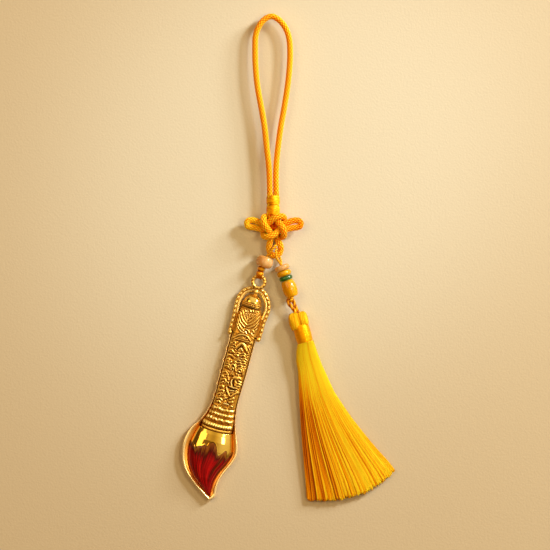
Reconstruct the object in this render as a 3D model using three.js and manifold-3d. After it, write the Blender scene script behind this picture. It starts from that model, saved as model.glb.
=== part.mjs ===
// Pen charm: a braided cord loop and cloverleaf knot that carries two beaded threads.
// One thread ends in a gilt writing-brush pendant with an enamelled tip, the other in a silk tassel.
// Lengths are in millimetres. The charm lies on its back: X is right, Y is up towards the hanging loop,
// Z is up off the surface, and the origin is on the surface in the middle of everything below the loop.

import * as THREE from 'three';
import { mergeVertices } from 'three/addons/utils/BufferGeometryUtils.js';
import Module from 'manifold-3d';

const wasm = await Module();
wasm.setup();

// Shared by all pieces
const clearance = 0.3; // between pieces that touch or turn on each other
const overrun = 2; // how far a cutting body runs past what it cuts
const degrees = Math.PI / 180;

// Braided cord of the loop and the knot
const cord = {
  diameter: 2.4,
  drawn: 2.1, // the same cord where the knot is drawn tight
  turnGap: 0.5, // between two turns of the knot that cross
  sides: 8,
  loopStep: 5.2,
  knotStep: 1.1,
};

// Cloverleaf knot: four woven corners with an ear left and right, and a bight below
const knot = { x: -6.45, y: 50.75, topClear: 0.5 };
const earLeft = { turns: 172.5 * degrees, reach: 11.4, slot: 0.75, drop: 0.5, shift: 0 };
const earRight = { turns: 7 * degrees, reach: 11.4, slot: 0.75, drop: 0.5, shift: 0 };
const bight = { turns: -90 * degrees, reach: 12.1, slot: 2.7, drop: 1.1, shift: 0.46 };

// Silk wraps that bind the two ends of the knot
const wrap = { width: 5.7, thickness: 3.1, length: 3.6, barrel: 0.2, shift: -0.3, rings: 6, sides: 20 };

// Route of the hanging loop from the wraps: across, along, and above the knot's middle
const loopRoute = [
  [-1.35, 0, 0], [-1.7, 10.3, 0], [-2.6, 18.7, -0.1], [-3.65, 28, -0.2], [-5.05, 36.4, -0.3],
  [-6.55, 44.8, -0.4], [-7.35, 53.2, -0.5], [-7.55, 60.5, -0.6], [-7.3, 66.1, -0.7], [-6.1, 69.7, -0.75],
  [-3.85, 72.7, -0.8], [-0.65, 74.2, -0.8], [2.45, 72.7, -0.8], [5.2, 69.3, -0.75], [6.7, 64.9, -0.7],
  [7.1, 59.6, -0.6], [6.9, 53.2, -0.5], [6.05, 44.8, -0.4], [4.75, 36.4, -0.3], [3.25, 28, -0.2],
  [2, 18.7, -0.1], [1.25, 10.3, 0], [1.25, 0, 0],
];

// Thin threads that hang in the bight
const thread = { diameter: 0.65, stem: 1.1, bore: 1.7, sides: 8, step: 0.6, level: 3.4 };

// Pen drop: its thread, pale bead and the binding above the pendant
const penHang = { rise: 2, acrossShare: 0.15, leg: 6.2, angle: -38.5 * degrees };
const penBead = { diameter: 6.6, length: 4.4, angle: -20 * degrees, edge: 0.5 };
const binding = { diameter: 2.9, waist: 2, length: 3, tail: 0.25 };

// Tassel drop: its thread, three discs and a barrel bead
const tasselHang = { rise: 0.53, acrossShare: 0.21, leg: 7.3, angle: 16 * degrees };
const discPale = { diameter: 6.1, length: 2.1, edge: 0.35 };
const discAmber = { diameter: 5.8, length: 2.1, edge: 0.35 };
const discGreen = { diameter: 5.5, length: 1.7, edge: 0.35 };
const barrel = { diameter: 5.7, length: 7.2, endDiameter: 4.2, endLip: 0.35 };
const beadAngle = 20.4 * degrees;
const beadSides = 24;

// Link: the tassel's own loop lies flat round the upright end of the thread that comes out of the barrel
const link = { cord: 0.9, reach: 2.2, angle: -25 * degrees, loopLength: 5.5, loopAngle: 30 * degrees };

// Gilt pendant in the shape of a writing brush, measured down from the middle of its eye
const pen = { angle: -15.2 * degrees, tipLength: 29.45, left: 13, right: 10.2, plate: 1 };
const eye = { diameter: 6.3, section: 1.2, level: 3.1 };
const rope = { section: 1.7, level: 2.4, ballDiameter: 2.3, left: 6.5, right: 6.9, height: 20, top: 3.4 };
const rim = { height: 2.4, left: 2.5, right: 2 };
const scallop = { diameter: 2.6, stickOut: 0.45, count: 5, first: 1.8, pitch: 5.1 };
const cap = {
  top: 5.3, radius: 3.9, height: 4.2, brimDepth: 1.9, brimReach: 0.45, brimHeight: 4.7, shift: -0.3,
};
const collar = { gap: 0.45, halfWidth: 4.6, height: 3.9, groove: 0.7, chevron: 2.2, bands: 5 };
const shaft = { top: 22.9, bottom: 53.3, height: 4, groove: 0.6, bow: 2, bands: 5 };
const ferrule = { gap: 0.7, ringPitch: 2.25, ringCount: 3, ringHeight: 4.1, groove: 0.7, grooveWidth: 0.4 };
const broadRing = { length: 3.7, height: 4.7, left: 7.4, right: 5.4 };
const tip = { crown: 4.6, bow: 0.8 };
const reliefSteps = 10;

// The pendant's outline in three stretches: along the handle, the ferrule and the tip. Each row has its place
// as a share of the stretch, then shares of the left and right reach, and of the width of the rim
const handleOutlineShares = [[0, 0.445, 0.52, 0.28], [0.48, 0.45, 0.52, 0.28], [0.99, 0.455, 0.5, 0.28]];
const ferruleOutlineShares = [
  [0.31, 0.515, 0.55, 0.3], [0.53, 0.57, 0.59, 0.33], [0.72, 0.645, 0.653, 0.36], [0.87, 0.72, 0.7, 0.45],
];
const tipOutlineShares = [
  [0.01, 0.81, 0.77, 0.7], [0.08, 0.9, 0.85, 0.9], [0.15, 0.95, 0.93, 1], [0.295, 1, 1, 1],
  [0.436, 0.958, 0.88, 1], [0.58, 0.845, 0.682, 1], [0.723, 0.603, 0.57, 1], [0.863, 0.2, 0.557, 1],
  [0.936, -0.058, 0.57, 1],
];
const penTipShare = 0.372; // how far right of the middle the point lies, as a share of the right reach
const rimTipShare = 0.057; // thickness of the rim at the point, as a share of the tip's length

// The rope arch from its left end over the top to its right end, as shares of its reach and height
const ropeShares = [
  [-0.95, 1], [-0.945, 0.84], [-0.95, 0.66], [-0.99, 0.48], [-1, 0.34], [-0.94, 0.2], [-0.77, 0.09],
  [-0.5, 0.02], [-0.14, -0.03], [0.28, -0.01], [0.55, 0.05], [0.79, 0.15], [0.95, 0.27], [1, 0.4], [0.96, 0.52],
  [0.91, 0.66], [0.915, 0.84], [0.89, 1],
];

// Height of the gold belly and enamel down the tip, as shares of the tip's length and of the crown
const crownShares = [
  [0, 0.8], [0.08, 0.93], [0.17, 1], [0.3, 1], [0.46, 0.96], [0.585, 0.88], [0.7, 0.76], [0.777, 0.5],
  [0.89, 0.24],
];

// Edge between gold and enamel, as shares of the left reach and of the tip's length
const flameShares = [
  [-1.1, 0.25], [-0.78, 0.25], [-0.58, 0.34], [-0.42, 0.23], [-0.24, 0.29], [-0.02, 0.19], [0.19, 0.36],
  [0.4, 0.26], [0.53, 0.33], [0.62, 0.235], [1.1, 0.235],
];

// Silk tassel, measured down from the top of its head
const head = {
  width: 8.6, thickness: 6.6, length: 5.2, lobeShare: 0.6, lobeLength: 9.2, topClear: 0.15,
};
const band = { width: 7, thickness: 6.9, length: 7.2, barrel: 0.25, sides: 24, rings: 5 };
const skirt = {
  angle: 15.5 * degrees, length: 67.2, left: 17.1, right: 22, topHalf: 3.4, topThickness: 6.4,
  endThickness: 2.6, leftBow: 0.9, bottomBowLeft: 4, bottomBowRight: 5.6, flutes: 13, fluteDepthShare: 0.16,
  sides: 52, rings: 14,
};

// Right edge of the skirt: share of the length, share of the way from the band to the right reach
const skirtRightShares = [
  [0, 0], [0.139, 0.03], [0.35, 0.15], [0.552, 0.39], [0.748, 0.67], [0.926, 0.93], [1, 1],
];

// Geometry helpers

// A closed body through rings of points that all have the same count, with a flat end on each side
function skin(rings) {
  const count = rings[0].length;
  const points = rings.flat();
  const faces = [];
  for (let r = 0; r + 1 < rings.length; r += 1) {
    for (let i = 0; i < count; i += 1) {
      const a = r * count + i;
      const b = r * count + ((i + 1) % count);
      faces.push(a, b, b + count, a, b + count, a + count);
    }
  }
  for (const [start, last] of [[0, false], [(rings.length - 1) * count, true]]) {
    const middle = new THREE.Vector3();
    for (let i = 0; i < count; i += 1) middle.add(points[start + i]);
    points.push(middle.divideScalar(count));
    const hub = points.length - 1;
    for (let i = 0; i < count; i += 1) {
      const a = start + i;
      const b = start + ((i + 1) % count);
      faces.push(...(last ? [a, b, hub] : [b, a, hub]));
    }
  }
  let volume = 0;
  for (let f = 0; f < faces.length; f += 3) {
    const [a, b, c] = [points[faces[f]], points[faces[f + 1]], points[faces[f + 2]]];
    volume += a.dot(b.clone().cross(c));
  }
  if (volume < 0) faces.reverse();
  const geometry = new THREE.BufferGeometry().setFromPoints(points);
  geometry.setIndex(faces);
  geometry.computeVertexNormals();
  return geometry;
}

function curveThrough(points) {
  return new THREE.CatmullRomCurve3(points, false, 'centripetal');
}

// A round tube along points, with an even step
function tube(points, diameter, sides, step) {
  const curve = curveThrough(points);
  curve.arcLengthDivisions = 600;
  const section = new THREE.Shape();
  for (let i = 0; i < sides; i += 1) {
    const angle = (2 * Math.PI * i) / sides;
    const [x, y] = [Math.cos(angle) * diameter / 2, Math.sin(angle) * diameter / 2];
    if (i === 0) section.moveTo(x, y);
    else section.lineTo(x, y);
  }
  const steps = Math.ceil(curve.getLength() / step);
  return new THREE.ExtrudeGeometry(section, { steps, extrudePath: curve, bevelEnabled: false });
}

// How a bow falls off from the middle (0) to the sides (1) of a relief: as a curve, or as a point
const rounded = (across) => 1 - across * across;
const pointed = (across) => 1 - Math.abs(across);

// A raised form whose sections are half ovals: each station is [down, left, right, height, bow]
function relief(stations, base, fullness, fall) {
  const rings = stations.map(([down, left, right, height, bow]) => {
    const ring = [];
    for (let i = 0; i <= reliefSteps; i += 1) {
      const angle = (Math.PI * i) / reliefSteps;
      const across = Math.sign(Math.cos(angle)) * Math.abs(Math.cos(angle)) ** fullness;
      const up = Math.sin(angle) ** fullness;
      const x = (left + right) / 2 + ((right - left) / 2) * across;
      ring.push(new THREE.Vector3(x, -down - bow * fall(across), base + height * up));
    }
    return ring;
  });
  return skin(rings);
}

// A revolved piece on the Y axis from a closed profile of [radius, height] pairs
function revolved(profile, sides) {
  const points = profile.map(([radius, height]) => new THREE.Vector2(radius, height)).reverse();
  points.push(points[0].clone());
  return new THREE.LatheGeometry(points, sides);
}

function solid(geometry) {
  const bare = geometry.clone();
  bare.deleteAttribute('normal');
  bare.deleteAttribute('uv');
  const merged = mergeVertices(bare);
  const vertProperties = merged.attributes.position.array;
  const triVerts = Uint32Array.from(merged.index.array);
  return new wasm.Manifold(new wasm.Mesh({ numProp: 3, vertProperties, triVerts }));
}

function geometryOf(body) {
  const mesh = body.getMesh();
  const geometry = new THREE.BufferGeometry();
  geometry.setAttribute('position', new THREE.BufferAttribute(mesh.vertProperties, mesh.numProp));
  geometry.setIndex(new THREE.BufferAttribute(mesh.triVerts, 1));
  geometry.computeVertexNormals();
  return geometry;
}

function joined(geometries) {
  return geometryOf(geometries.map(solid).reduce((sum, next) => sum.add(next)));
}

function moved(geometry, x, y, z) {
  return geometry.clone().translate(x, y, z);
}

function frame(parent, x, y, z, turn) {
  const group = new THREE.Group();
  group.position.set(x, y, z);
  group.rotation.z = turn;
  parent.add(group);
  return group;
}

function piece(parent, name, geometry, look) {
  const mesh = new THREE.Mesh(geometry, new THREE.MeshStandardMaterial(look));
  mesh.name = name;
  parent.add(mesh);
  return mesh;
}

// Looks of the materials
const orangeCord = { color: 0xf39a12, roughness: 0.75, metalness: 0 };
const yellowSilk = { color: 0xf6bd14, roughness: 0.45, metalness: 0 };
const goldThread = { color: 0xe4a01c, roughness: 0.4, metalness: 0.2 };
const gilt = { color: 0xd9a845, roughness: 0.22, metalness: 1 };
const paleStone = { color: 0xdcaa74, roughness: 0.25, metalness: 0 };
const amberStone = { color: 0xe0a010, roughness: 0.2, metalness: 0 };
const greenStone = { color: 0x2c6b2a, roughness: 0.25, metalness: 0 };
const redEnamel = { color: 0xa3101c, roughness: 0.15, metalness: 0 };

const charm = new THREE.Group();

// The knot

const pitch = cord.drawn + cord.turnGap;

// One quarter of the weave in shares of the pitch: in from an ear on the right, under its neighbour,
// round the corner to the front. The second half mirrors the first and leaves downwards.
const quarterShares = [
  [1.8, 0.49, -0.2], [1.3, 0.48, -0.26], [0.76, 0.76, -0.64], [0.2, 1.23, -1.08], [-0.5, 1.65, -1.24],
  [-1.25, 1.76, -0.88], [-1.65, 1.65, 0],
];
const quarter = [...quarterShares, ...quarterShares.slice(0, -1).reverse().map(([x, y, z]) => [-y, -x, -z])];
const backShare = Math.max(...quarter.map(([, , z]) => z));
const knotLevel = pitch * backShare + cord.drawn / 2 + clearance / 10;

function quarterAt(turns) {
  const axis = new THREE.Vector3(0, 0, 1);
  return quarter.map(([x, y, z]) => (
    new THREE.Vector3(x, y, z).multiplyScalar(pitch).applyAxisAngle(axis, turns)
  ));
}

// A loop of cord that leaves the weave and comes back: out on its right-hand side, in on its left
function ear({ turns, reach, slot, drop, shift }) {
  const half = (slot + cord.drawn) / 2;
  const neck = (pitch * quarterShares[0][0] + reach) / 2;
  const round = half * Math.SQRT1_2;
  const side = [[neck, half, drop / 2], [reach - half, half, drop], [reach - half + round, round, drop]];
  const outline = [
    ...side.map(([out, across, down]) => [out, -across, down]),
    [reach, 0, drop],
    ...side.reverse(),
  ];
  return outline.map(([out, across, down]) => {
    const point = new THREE.Vector3(out, across, -down);
    return point.applyAxisAngle(new THREE.Vector3(0, 0, 1), turns).add(new THREE.Vector3(shift, 0, 0));
  });
}

const weaveTop = pitch * Math.max(...quarter.map(([, y]) => y)) + cord.drawn / 2;
const wrapFoot = weaveTop + knot.topClear;
const endHeight = wrapFoot - clearance;
const endRun = cord.drawn / 5; // the ends run square into the wrap over this length
const endShare = 0.55; // the two ends stand a little further apart than a pair in the weave
const quarterTurn = Math.PI / 2;
const knotPath = [
  new THREE.Vector3(wrap.shift - pitch * endShare, endHeight, 0),
  new THREE.Vector3(wrap.shift - pitch * endShare, endHeight - endRun, 0),
  ...quarterAt(quarterTurn),
  ...ear(earRight),
  ...quarterAt(0),
  ...ear(bight),
  ...quarterAt(-quarterTurn),
  ...ear(earLeft),
  ...quarterAt(Math.PI),
  new THREE.Vector3(wrap.shift + pitch * endShare, endHeight - endRun, 0),
  new THREE.Vector3(wrap.shift + pitch * endShare, endHeight, 0),
];

// The least gap between two stretches of the cord that are further apart along it than a tight turn
function leastGap(points, diameter) {
  const curve = curveThrough(points);
  curve.arcLengthDivisions = 600;
  const samples = curve.getSpacedPoints(500);
  const spacing = curve.getLength() / 500;
  const skip = Math.ceil((diameter * 2) / spacing);
  let least = Infinity;
  for (let i = 0; i < samples.length; i += 1) {
    for (let j = i + skip; j < samples.length; j += 1) {
      least = Math.min(least, samples[i].distanceTo(samples[j]));
    }
  }
  return least - diameter;
}
console.log(`knot: least gap of the cord to itself ${leastGap(knotPath, cord.drawn).toFixed(2)} mm`);

const knotFrame = frame(charm, knot.x, knot.y, knotLevel, 0);
piece(knotFrame, 'knot', tube(knotPath, cord.drawn, cord.sides, cord.knotStep), orangeCord);

// The two silk wraps and the hanging loop

function ovalRing(width, thickness, sides, place) {
  const ring = [];
  for (let i = 0; i < sides; i += 1) {
    const angle = (2 * Math.PI * i) / sides;
    const straight = Math.max(width - thickness, 0) / 2;
    const x = Math.cos(angle) * thickness / 2 + Math.sign(Math.cos(angle)) * straight;
    ring.push(place(x, Math.sin(angle) * thickness / 2));
  }
  return ring;
}

function silkWrap() {
  const rings = [];
  for (let r = 0; r < wrap.rings; r += 1) {
    const share = r / (wrap.rings - 1);
    const swell = wrap.barrel * Math.sin(Math.PI * share) - wrap.barrel;
    const along = wrap.length * share;
    const place = (x, z) => new THREE.Vector3(x, along, z);
    rings.push(ovalRing(wrap.width + swell, wrap.thickness + swell, wrap.sides, place));
  }
  return skin(rings);
}

const lowerWrapFrame = frame(knotFrame, wrap.shift, wrapFoot, 0, 0);
const upperWrapFrame = frame(lowerWrapFrame, 0, wrap.length + clearance, 0, 0);
piece(lowerWrapFrame, 'loop_wrap_lower', silkWrap(), yellowSilk);
piece(upperWrapFrame, 'loop_wrap_upper', silkWrap(), yellowSilk);

const loopFrame = frame(upperWrapFrame, 0, wrap.length + clearance, 0, 0);
const loopPoints = loopRoute.map(([x, y, z]) => new THREE.Vector3(x, y, z));
piece(loopFrame, 'hanging_loop', tube(loopPoints, cord.diameter, cord.sides, cord.loopStep), orangeCord);

// Where the two threads hang: upright through the slot of the bight, with a leg over and a leg under its cord

const bightHalf = (bight.slot + cord.drawn) / 2;
const bightY = bightHalf - bight.reach;
const bightLevel = knotLevel - bight.drop;
const legOffset = cord.drawn / 2 + clearance + thread.diameter / 2;

function hangFrame({ rise, acrossShare, angle }) {
  return frame(charm, knot.x + bight.shift + bight.slot * acrossShare, knot.y + bightY + rise, 0, angle);
}

// A thread that comes out of a bead, over the bight, down through its slot and back under it to the same bead
function threadLegs(leg, level) {
  const high = bightLevel + legOffset + bight.drop * 0.75;
  const low = bightLevel - legOffset - bight.drop * 0.3;
  const bend = thread.diameter;
  const over = leg * 0.45;
  const near = leg * 0.8;
  const beside = thread.diameter * 0.3;
  const upper = [
    [0, -leg - thread.diameter, level + beside / 2], [0, -leg + bend / 2, level + beside],
    [0, -near, (level + high) / 2], [0, -over, high - bend / 4], [0, -bend * 1.6, high],
    [0, -bend / 4, high - bend / 2],
  ];
  const lower = [
    [0, -bend / 4, low + bend / 2], [0, -bend * 1.6, low], [0, -leg * 0.64, low],
    [0, -leg * 0.9, (level + low) / 2], [0, -leg, level - beside],
    [0, -leg - thread.diameter, level - beside / 2],
  ];
  const middle = [[0, 0, high - bend * 1.3], [0, 0, low + bend * 1.3]];
  const points = [...upper, ...middle, ...lower].map(([x, y, z]) => new THREE.Vector3(x, y, z));
  return tube(points, thread.diameter, thread.sides, thread.step);
}

function beadProfile({ diameter, length, edge }) {
  const bore = thread.bore / 2;
  const radius = diameter / 2;
  const belly = 7;
  const profile = [[bore, 0], [bore + edge, 0]];
  for (let i = 1; i < belly; i += 1) {
    const angle = (Math.PI * i) / belly;
    const out = Math.sin(angle) ** 0.7;
    profile.push([bore + edge + (radius - bore - edge) * out, (-length * (1 - Math.cos(angle))) / 2]);
  }
  profile.push([bore + edge, -length], [bore, -length]);
  return profile;
}

// Bring a geometry from one frame into another
function inFrame(geometry, from, to) {
  charm.updateMatrixWorld(true);
  const matrix = to.matrixWorld.clone().invert().multiply(from.matrixWorld);
  return geometry.clone().applyMatrix4(matrix);
}

// Pen drop

const penThreadFrame = hangFrame(penHang);
const penBeadFrame = frame(penThreadFrame, 0, -penHang.leg, 0, penBead.angle - penHang.angle);
const bindingFrame = frame(penBeadFrame, 0, -penBead.length - clearance, 0, pen.angle - penBead.angle);
const eyeRadius = (eye.diameter - eye.section) / 2;
const barBelow = binding.length + clearance + eye.section / 2;
const penFrame = frame(bindingFrame, 0, -barBelow - eyeRadius, 0, 0);

const bindingProfile = [
  [thread.stem / 4, 0], [binding.waist / 2, 0], [binding.diameter / 2, -binding.length * 0.16],
  [binding.diameter / 2, -binding.length * 0.36], [binding.waist / 2, -binding.length / 2],
  [binding.diameter / 2, -binding.length * 0.64], [binding.diameter / 2, -binding.length * 0.84],
  [binding.waist / 2, -binding.length], [thread.stem / 4, -binding.length],
];
const eyeLoopRadius = eye.section / 2 + clearance + thread.diameter / 2;

function eyeLoop() {
  const [top, bar] = [-binding.length * 0.72, -barBelow];
  const round = eyeLoopRadius * Math.SQRT1_2;
  const side = [
    [top, eyeLoopRadius * 0.55], [-binding.length, eyeLoopRadius], [bar, eyeLoopRadius], [bar - round, round],
  ];
  const outline = [...side, [bar - eyeLoopRadius, 0], ...side.map(([y, z]) => [y, -z]).reverse()];
  const points = outline.map(([y, z]) => new THREE.Vector3(0, y, eye.level + z));
  return tube(points, thread.diameter, thread.sides, thread.step);
}

function stem(from, length, level) {
  const points = [new THREE.Vector3(0, from, level), new THREE.Vector3(0, from - length, level)];
  return tube(points, thread.stem, thread.sides, length);
}

const penBeadRun = penBead.length + thread.diameter / 2 + clearance * 2;
const penStem = stem(thread.diameter / 2, penBeadRun, thread.level);
const bindingSides = thread.sides * 2;
const bindingTurn = Math.PI / bindingSides; // keeps the form's edges off those of the tubes that leave it
const bindingForm = moved(revolved(bindingProfile, bindingSides).rotateY(bindingTurn), 0, 0, eye.level);
const bindingTail = stem(binding.tail - clearance, binding.length, eye.level + thread.diameter / 4);
const penThreadParts = [
  threadLegs(penHang.leg, thread.level),
  inFrame(penStem, penBeadFrame, penThreadFrame),
  inFrame(bindingForm, bindingFrame, penThreadFrame),
  inFrame(bindingTail, bindingFrame, penThreadFrame),
  inFrame(eyeLoop(), bindingFrame, penThreadFrame),
];
piece(penThreadFrame, 'pen_thread', joined(penThreadParts), goldThread);
const penBeadForm = revolved(beadProfile(penBead), beadSides);
piece(penBeadFrame, 'pen_bead', moved(penBeadForm, 0, 0, thread.level), paleStone);

// The pendant

// Where the pendant's pieces follow each other, measured down from the middle of the eye
const brimTop = cap.top + cap.radius;
const collarTop = brimTop + cap.brimDepth + collar.gap;
const collarBottom = shaft.top - collar.gap;
const handleTop = rope.top + rope.height;
const ferruleTop = shaft.bottom + ferrule.gap;
const broadTop = ferruleTop + ferrule.ringPitch * ferrule.ringCount;
const tipTop = broadTop + broadRing.length;
const penEnd = tipTop + pen.tipLength;

function rowsOf(shares, top, bottom) {
  return shares.map(([down, left, right, edge]) => ({
    down: THREE.MathUtils.lerp(top, bottom, down),
    left: -left * pen.left,
    right: right * pen.right,
    rimLeft: edge * rim.left,
    rimRight: edge * rim.right,
  }));
}
const rows = [
  ...rowsOf(handleOutlineShares, handleTop, shaft.bottom),
  ...rowsOf(ferruleOutlineShares, shaft.bottom, tipTop),
  ...rowsOf(tipOutlineShares, tipTop, penEnd),
];
const point = { x: penTipShare * pen.right, down: penEnd };

// Left or right edge at a depth, moved in by the rim and a further inset
function edgesAt(down, inset) {
  const next = Math.max(rows.findIndex((row) => row.down >= down), 1);
  const [a, b] = [rows[next - 1], rows[next]];
  const t = (down - a.down) / (b.down - a.down);
  const left = THREE.MathUtils.lerp(a.left + a.rimLeft, b.left + b.rimLeft, t) + inset;
  const right = THREE.MathUtils.lerp(a.right - a.rimRight, b.right - b.rimRight, t) - inset;
  return [left, right];
}

function penShape(onRim) {
  const shape = new THREE.Shape();
  const left = rows.map((row) => new THREE.Vector2(row.left + (onRim ? row.rimLeft : 0), -row.down));
  const right = rows.map((row) => new THREE.Vector2(row.right - (onRim ? row.rimRight : 0), -row.down));
  const end = new THREE.Vector2(point.x, -point.down + (onRim ? rimTipShare * pen.tipLength : 0));
  if (onRim) {
    left.unshift(new THREE.Vector2(left[0].x, left[0].y + overrun));
    right.unshift(new THREE.Vector2(right[0].x, right[0].y + overrun));
  }
  shape.moveTo(left[0].x, left[0].y);
  shape.splineThru([...left.slice(1), end]);
  shape.splineThru([...right].reverse());
  shape.closePath();
  return shape;
}

function plateOf(shape, height, curveSegments) {
  return new THREE.ExtrudeGeometry(shape, { depth: height, bevelEnabled: false, curveSegments });
}

// The neck of the plate between the handle and the cap, which carries the collar
function neckShape() {
  const top = brimTop + cap.brimDepth;
  const shoulder = rope.top + rope.height / 2;
  const bottom = rows[0].down + clearance;
  const shape = new THREE.Shape();
  shape.moveTo(rows[0].left, -bottom);
  shape.lineTo(rows[0].left, -shoulder);
  shape.lineTo(-cap.radius, -top);
  shape.lineTo(cap.radius, -top);
  shape.lineTo(rows[0].right, -shoulder);
  shape.lineTo(rows[0].right, -bottom);
  shape.closePath();
  return shape;
}

function penBacking() {
  const outline = solid(plateOf(penShape(false), rim.height, 3));
  const pocket = solid(moved(plateOf(penShape(true), rim.height, 3), 0, 0, pen.plate));
  const parts = [outline.subtract(pocket), solid(plateOf(neckShape(), pen.plate, 1))];
  const capPlate = new THREE.Shape().absarc(cap.shift, -brimTop, cap.radius, 0, 2 * Math.PI);
  parts.push(solid(plateOf(capPlate, pen.plate, beadSides)));
  for (let i = 0; i < scallop.count; i += 1) {
    const bump = new THREE.CylinderGeometry(scallop.diameter / 2, scallop.diameter / 2, rim.height, 12);
    bump.rotateX(quarterTurn);
    const x = rows[0].left - scallop.stickOut + scallop.diameter / 2;
    const under = moved(bump, x, -handleTop - scallop.first - scallop.pitch * i, rim.height / 2);
    parts.push(solid(under).subtract(pocket));
  }
  const path = ropeShares.map(([x, down]) => (
    new THREE.Vector3(x * (x < 0 ? rope.left : rope.right), -rope.top - down * rope.height, rope.level)
  ));
  parts.push(solid(tube(path, rope.section, thread.sides, rope.section * 1.2)));
  for (const end of [path[0], path[path.length - 1]]) {
    const ball = new THREE.SphereGeometry(rope.ballDiameter / 2, 10, 8);
    parts.push(solid(moved(ball, end.x, end.y, end.z)));
  }
  const ring = new THREE.TorusGeometry(eyeRadius, eye.section / 2, thread.sides, beadSides);
  parts.push(solid(moved(ring, 0, 0, eye.level)));
  const neckEnd = cap.top + rope.section * 0.3;
  const neck = new THREE.BoxGeometry(rope.section, neckEnd - rope.top, rope.section);
  parts.push(solid(moved(neck, 0, -(neckEnd + rope.top) / 2, rope.level)));
  const post = new THREE.BoxGeometry(rope.section, rope.section / 2, rope.level);
  parts.push(solid(moved(post, 0, rope.section / 4 - neckEnd, rope.level / 2)));
  return geometryOf(parts.reduce((sum, next) => sum.add(next)));
}
piece(penFrame, 'pen_frame', penBacking(), gilt);

// Domed cap with its brim
function penCap() {
  const stations = [];
  const arcs = 7;
  const [left, right] = [cap.shift - cap.radius, cap.shift + cap.radius];
  const inner = rope.section;
  for (let i = 1; i <= arcs; i += 1) {
    const angle = (quarterTurn * i) / arcs;
    const half = cap.radius * Math.sin(angle);
    const down = cap.top + inner * 0.6 + (cap.radius - inner * 0.6) * (1 - Math.cos(angle));
    stations.push([down, cap.shift - half, cap.shift + half, cap.height * Math.sin(angle), 0]);
  }
  const edge = cap.brimReach / 2;
  for (const share of [0.05, 0.25, 0.75, 1]) {
    const full = share > 0.2 && share < 0.9 ? cap.brimHeight : cap.brimHeight - edge * 2;
    stations.push([brimTop + cap.brimDepth * share, left - cap.brimReach, right + cap.brimReach, full, 0]);
  }
  return relief(stations, pen.plate, 0.9, rounded);
}
piece(penFrame, 'pen_cap', penCap(), gilt);

// Bands across the relief, with a groove between each two
function bandedRelief({ top, bottom, bands, groove, height }, sideAt, bowAt, fall) {
  const stations = [];
  const depth = (bottom - top) / bands;
  for (let i = 0; i < bands; i += 1) {
    for (const share of [0, 0.14, 0.86, 1]) {
      const down = top + depth * (i + share);
      const [left, right] = sideAt(down);
      const low = share === 0 || share === 1;
      if (share === 0 && i > 0) continue;
      stations.push([down, left, right, low ? height - groove : height, bowAt(down)]);
    }
  }
  return relief(stations, pen.plate, 0.75, fall);
}

// Collar of pointed chevrons under the brim
function collarSides() {
  return [-collar.halfWidth, collar.halfWidth];
}
function collarBow(down) {
  const t = (down - collarTop) / (collarBottom - collarTop);
  return collar.chevron * Math.sin(Math.PI * t);
}
const chevrons = { ...collar, top: collarTop, bottom: collarBottom };
piece(penFrame, 'pen_collar', bandedRelief(chevrons, collarSides, collarBow, pointed), gilt);

// Handle in raised bands, arched at its top
function shaftSides(down) {
  return edgesAt(Math.max(down, rows[0].down), clearance);
}
function shaftBow(down) {
  const t = (down - shaft.top) / (shaft.bottom - shaft.top);
  return -shaft.bow * Math.max(1 - t * shaft.bands, 0);
}
const arched = { ...shaft, top: shaft.top + shaft.bow };
piece(penFrame, 'pen_handle', bandedRelief(arched, shaftSides, shaftBow, rounded), gilt);

// Ferrule of narrow rings above one broad ring, all bowed down in the middle
function penFerrule() {
  const stations = [];
  for (let i = 0; i < ferrule.ringCount; i += 1) {
    const top = ferruleTop + ferrule.ringPitch * i;
    const [first, last] = [top, top + ferrule.ringPitch - ferrule.grooveWidth];
    for (const [down, height] of [
      [first, ferrule.ringHeight - ferrule.groove], [first + ferrule.grooveWidth, ferrule.ringHeight],
      [last - ferrule.grooveWidth, ferrule.ringHeight], [last, ferrule.ringHeight - ferrule.groove],
    ]) {
      const [left, right] = edgesAt(down, clearance);
      stations.push([down, left, right, height, tip.bow]);
    }
  }
  const low = -ferrule.groove;
  for (const [share, height] of [[0, low], [0.15, 0], [0.6, 0], [0.66, low / 2], [0.8, low / 4], [1, low]]) {
    const down = broadTop + broadRing.length * share;
    const [left, right] = edgesAt(down, clearance);
    const sides = [Math.max(left, -broadRing.left), Math.min(right, broadRing.right)];
    stations.push([down, ...sides, broadRing.height + height, tip.bow]);
  }
  return relief(stations, pen.plate, 0.8, rounded);
}
piece(penFrame, 'pen_ferrule', penFerrule(), gilt);

// Gold belly and enamel tip: one full form, parted along the flame edge
function penTip() {
  const stations = crownShares.map(([down, height], i) => {
    const depth = tipTop + (i === 0 ? clearance : down * pen.tipLength);
    const [left, right] = edgesAt(depth, clearance);
    return [depth, left, right, height * tip.crown, i === 0 ? tip.bow : 0];
  });
  return solid(relief(stations, pen.plate, 0.75, rounded));
}

function enamelSide(gap) {
  const edge = flameShares.map(([x, down]) => (
    new THREE.Vector2(x * pen.left, -tipTop - down * pen.tipLength - gap)
  ));
  const shape = new THREE.Shape();
  shape.moveTo(edge[0].x, edge[0].y);
  shape.splineThru(edge.slice(1));
  shape.lineTo(edge[edge.length - 1].x, -penEnd - overrun);
  shape.lineTo(edge[0].x, -penEnd - overrun);
  shape.closePath();
  return solid(moved(plateOf(shape, tip.crown + overrun * 2, 4), 0, 0, pen.plate - overrun));
}
piece(penFrame, 'pen_belly', geometryOf(penTip().subtract(enamelSide(0))), gilt);
piece(penFrame, 'pen_tuft', geometryOf(penTip().intersect(enamelSide(clearance))), redEnamel);

// Tassel drop

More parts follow.
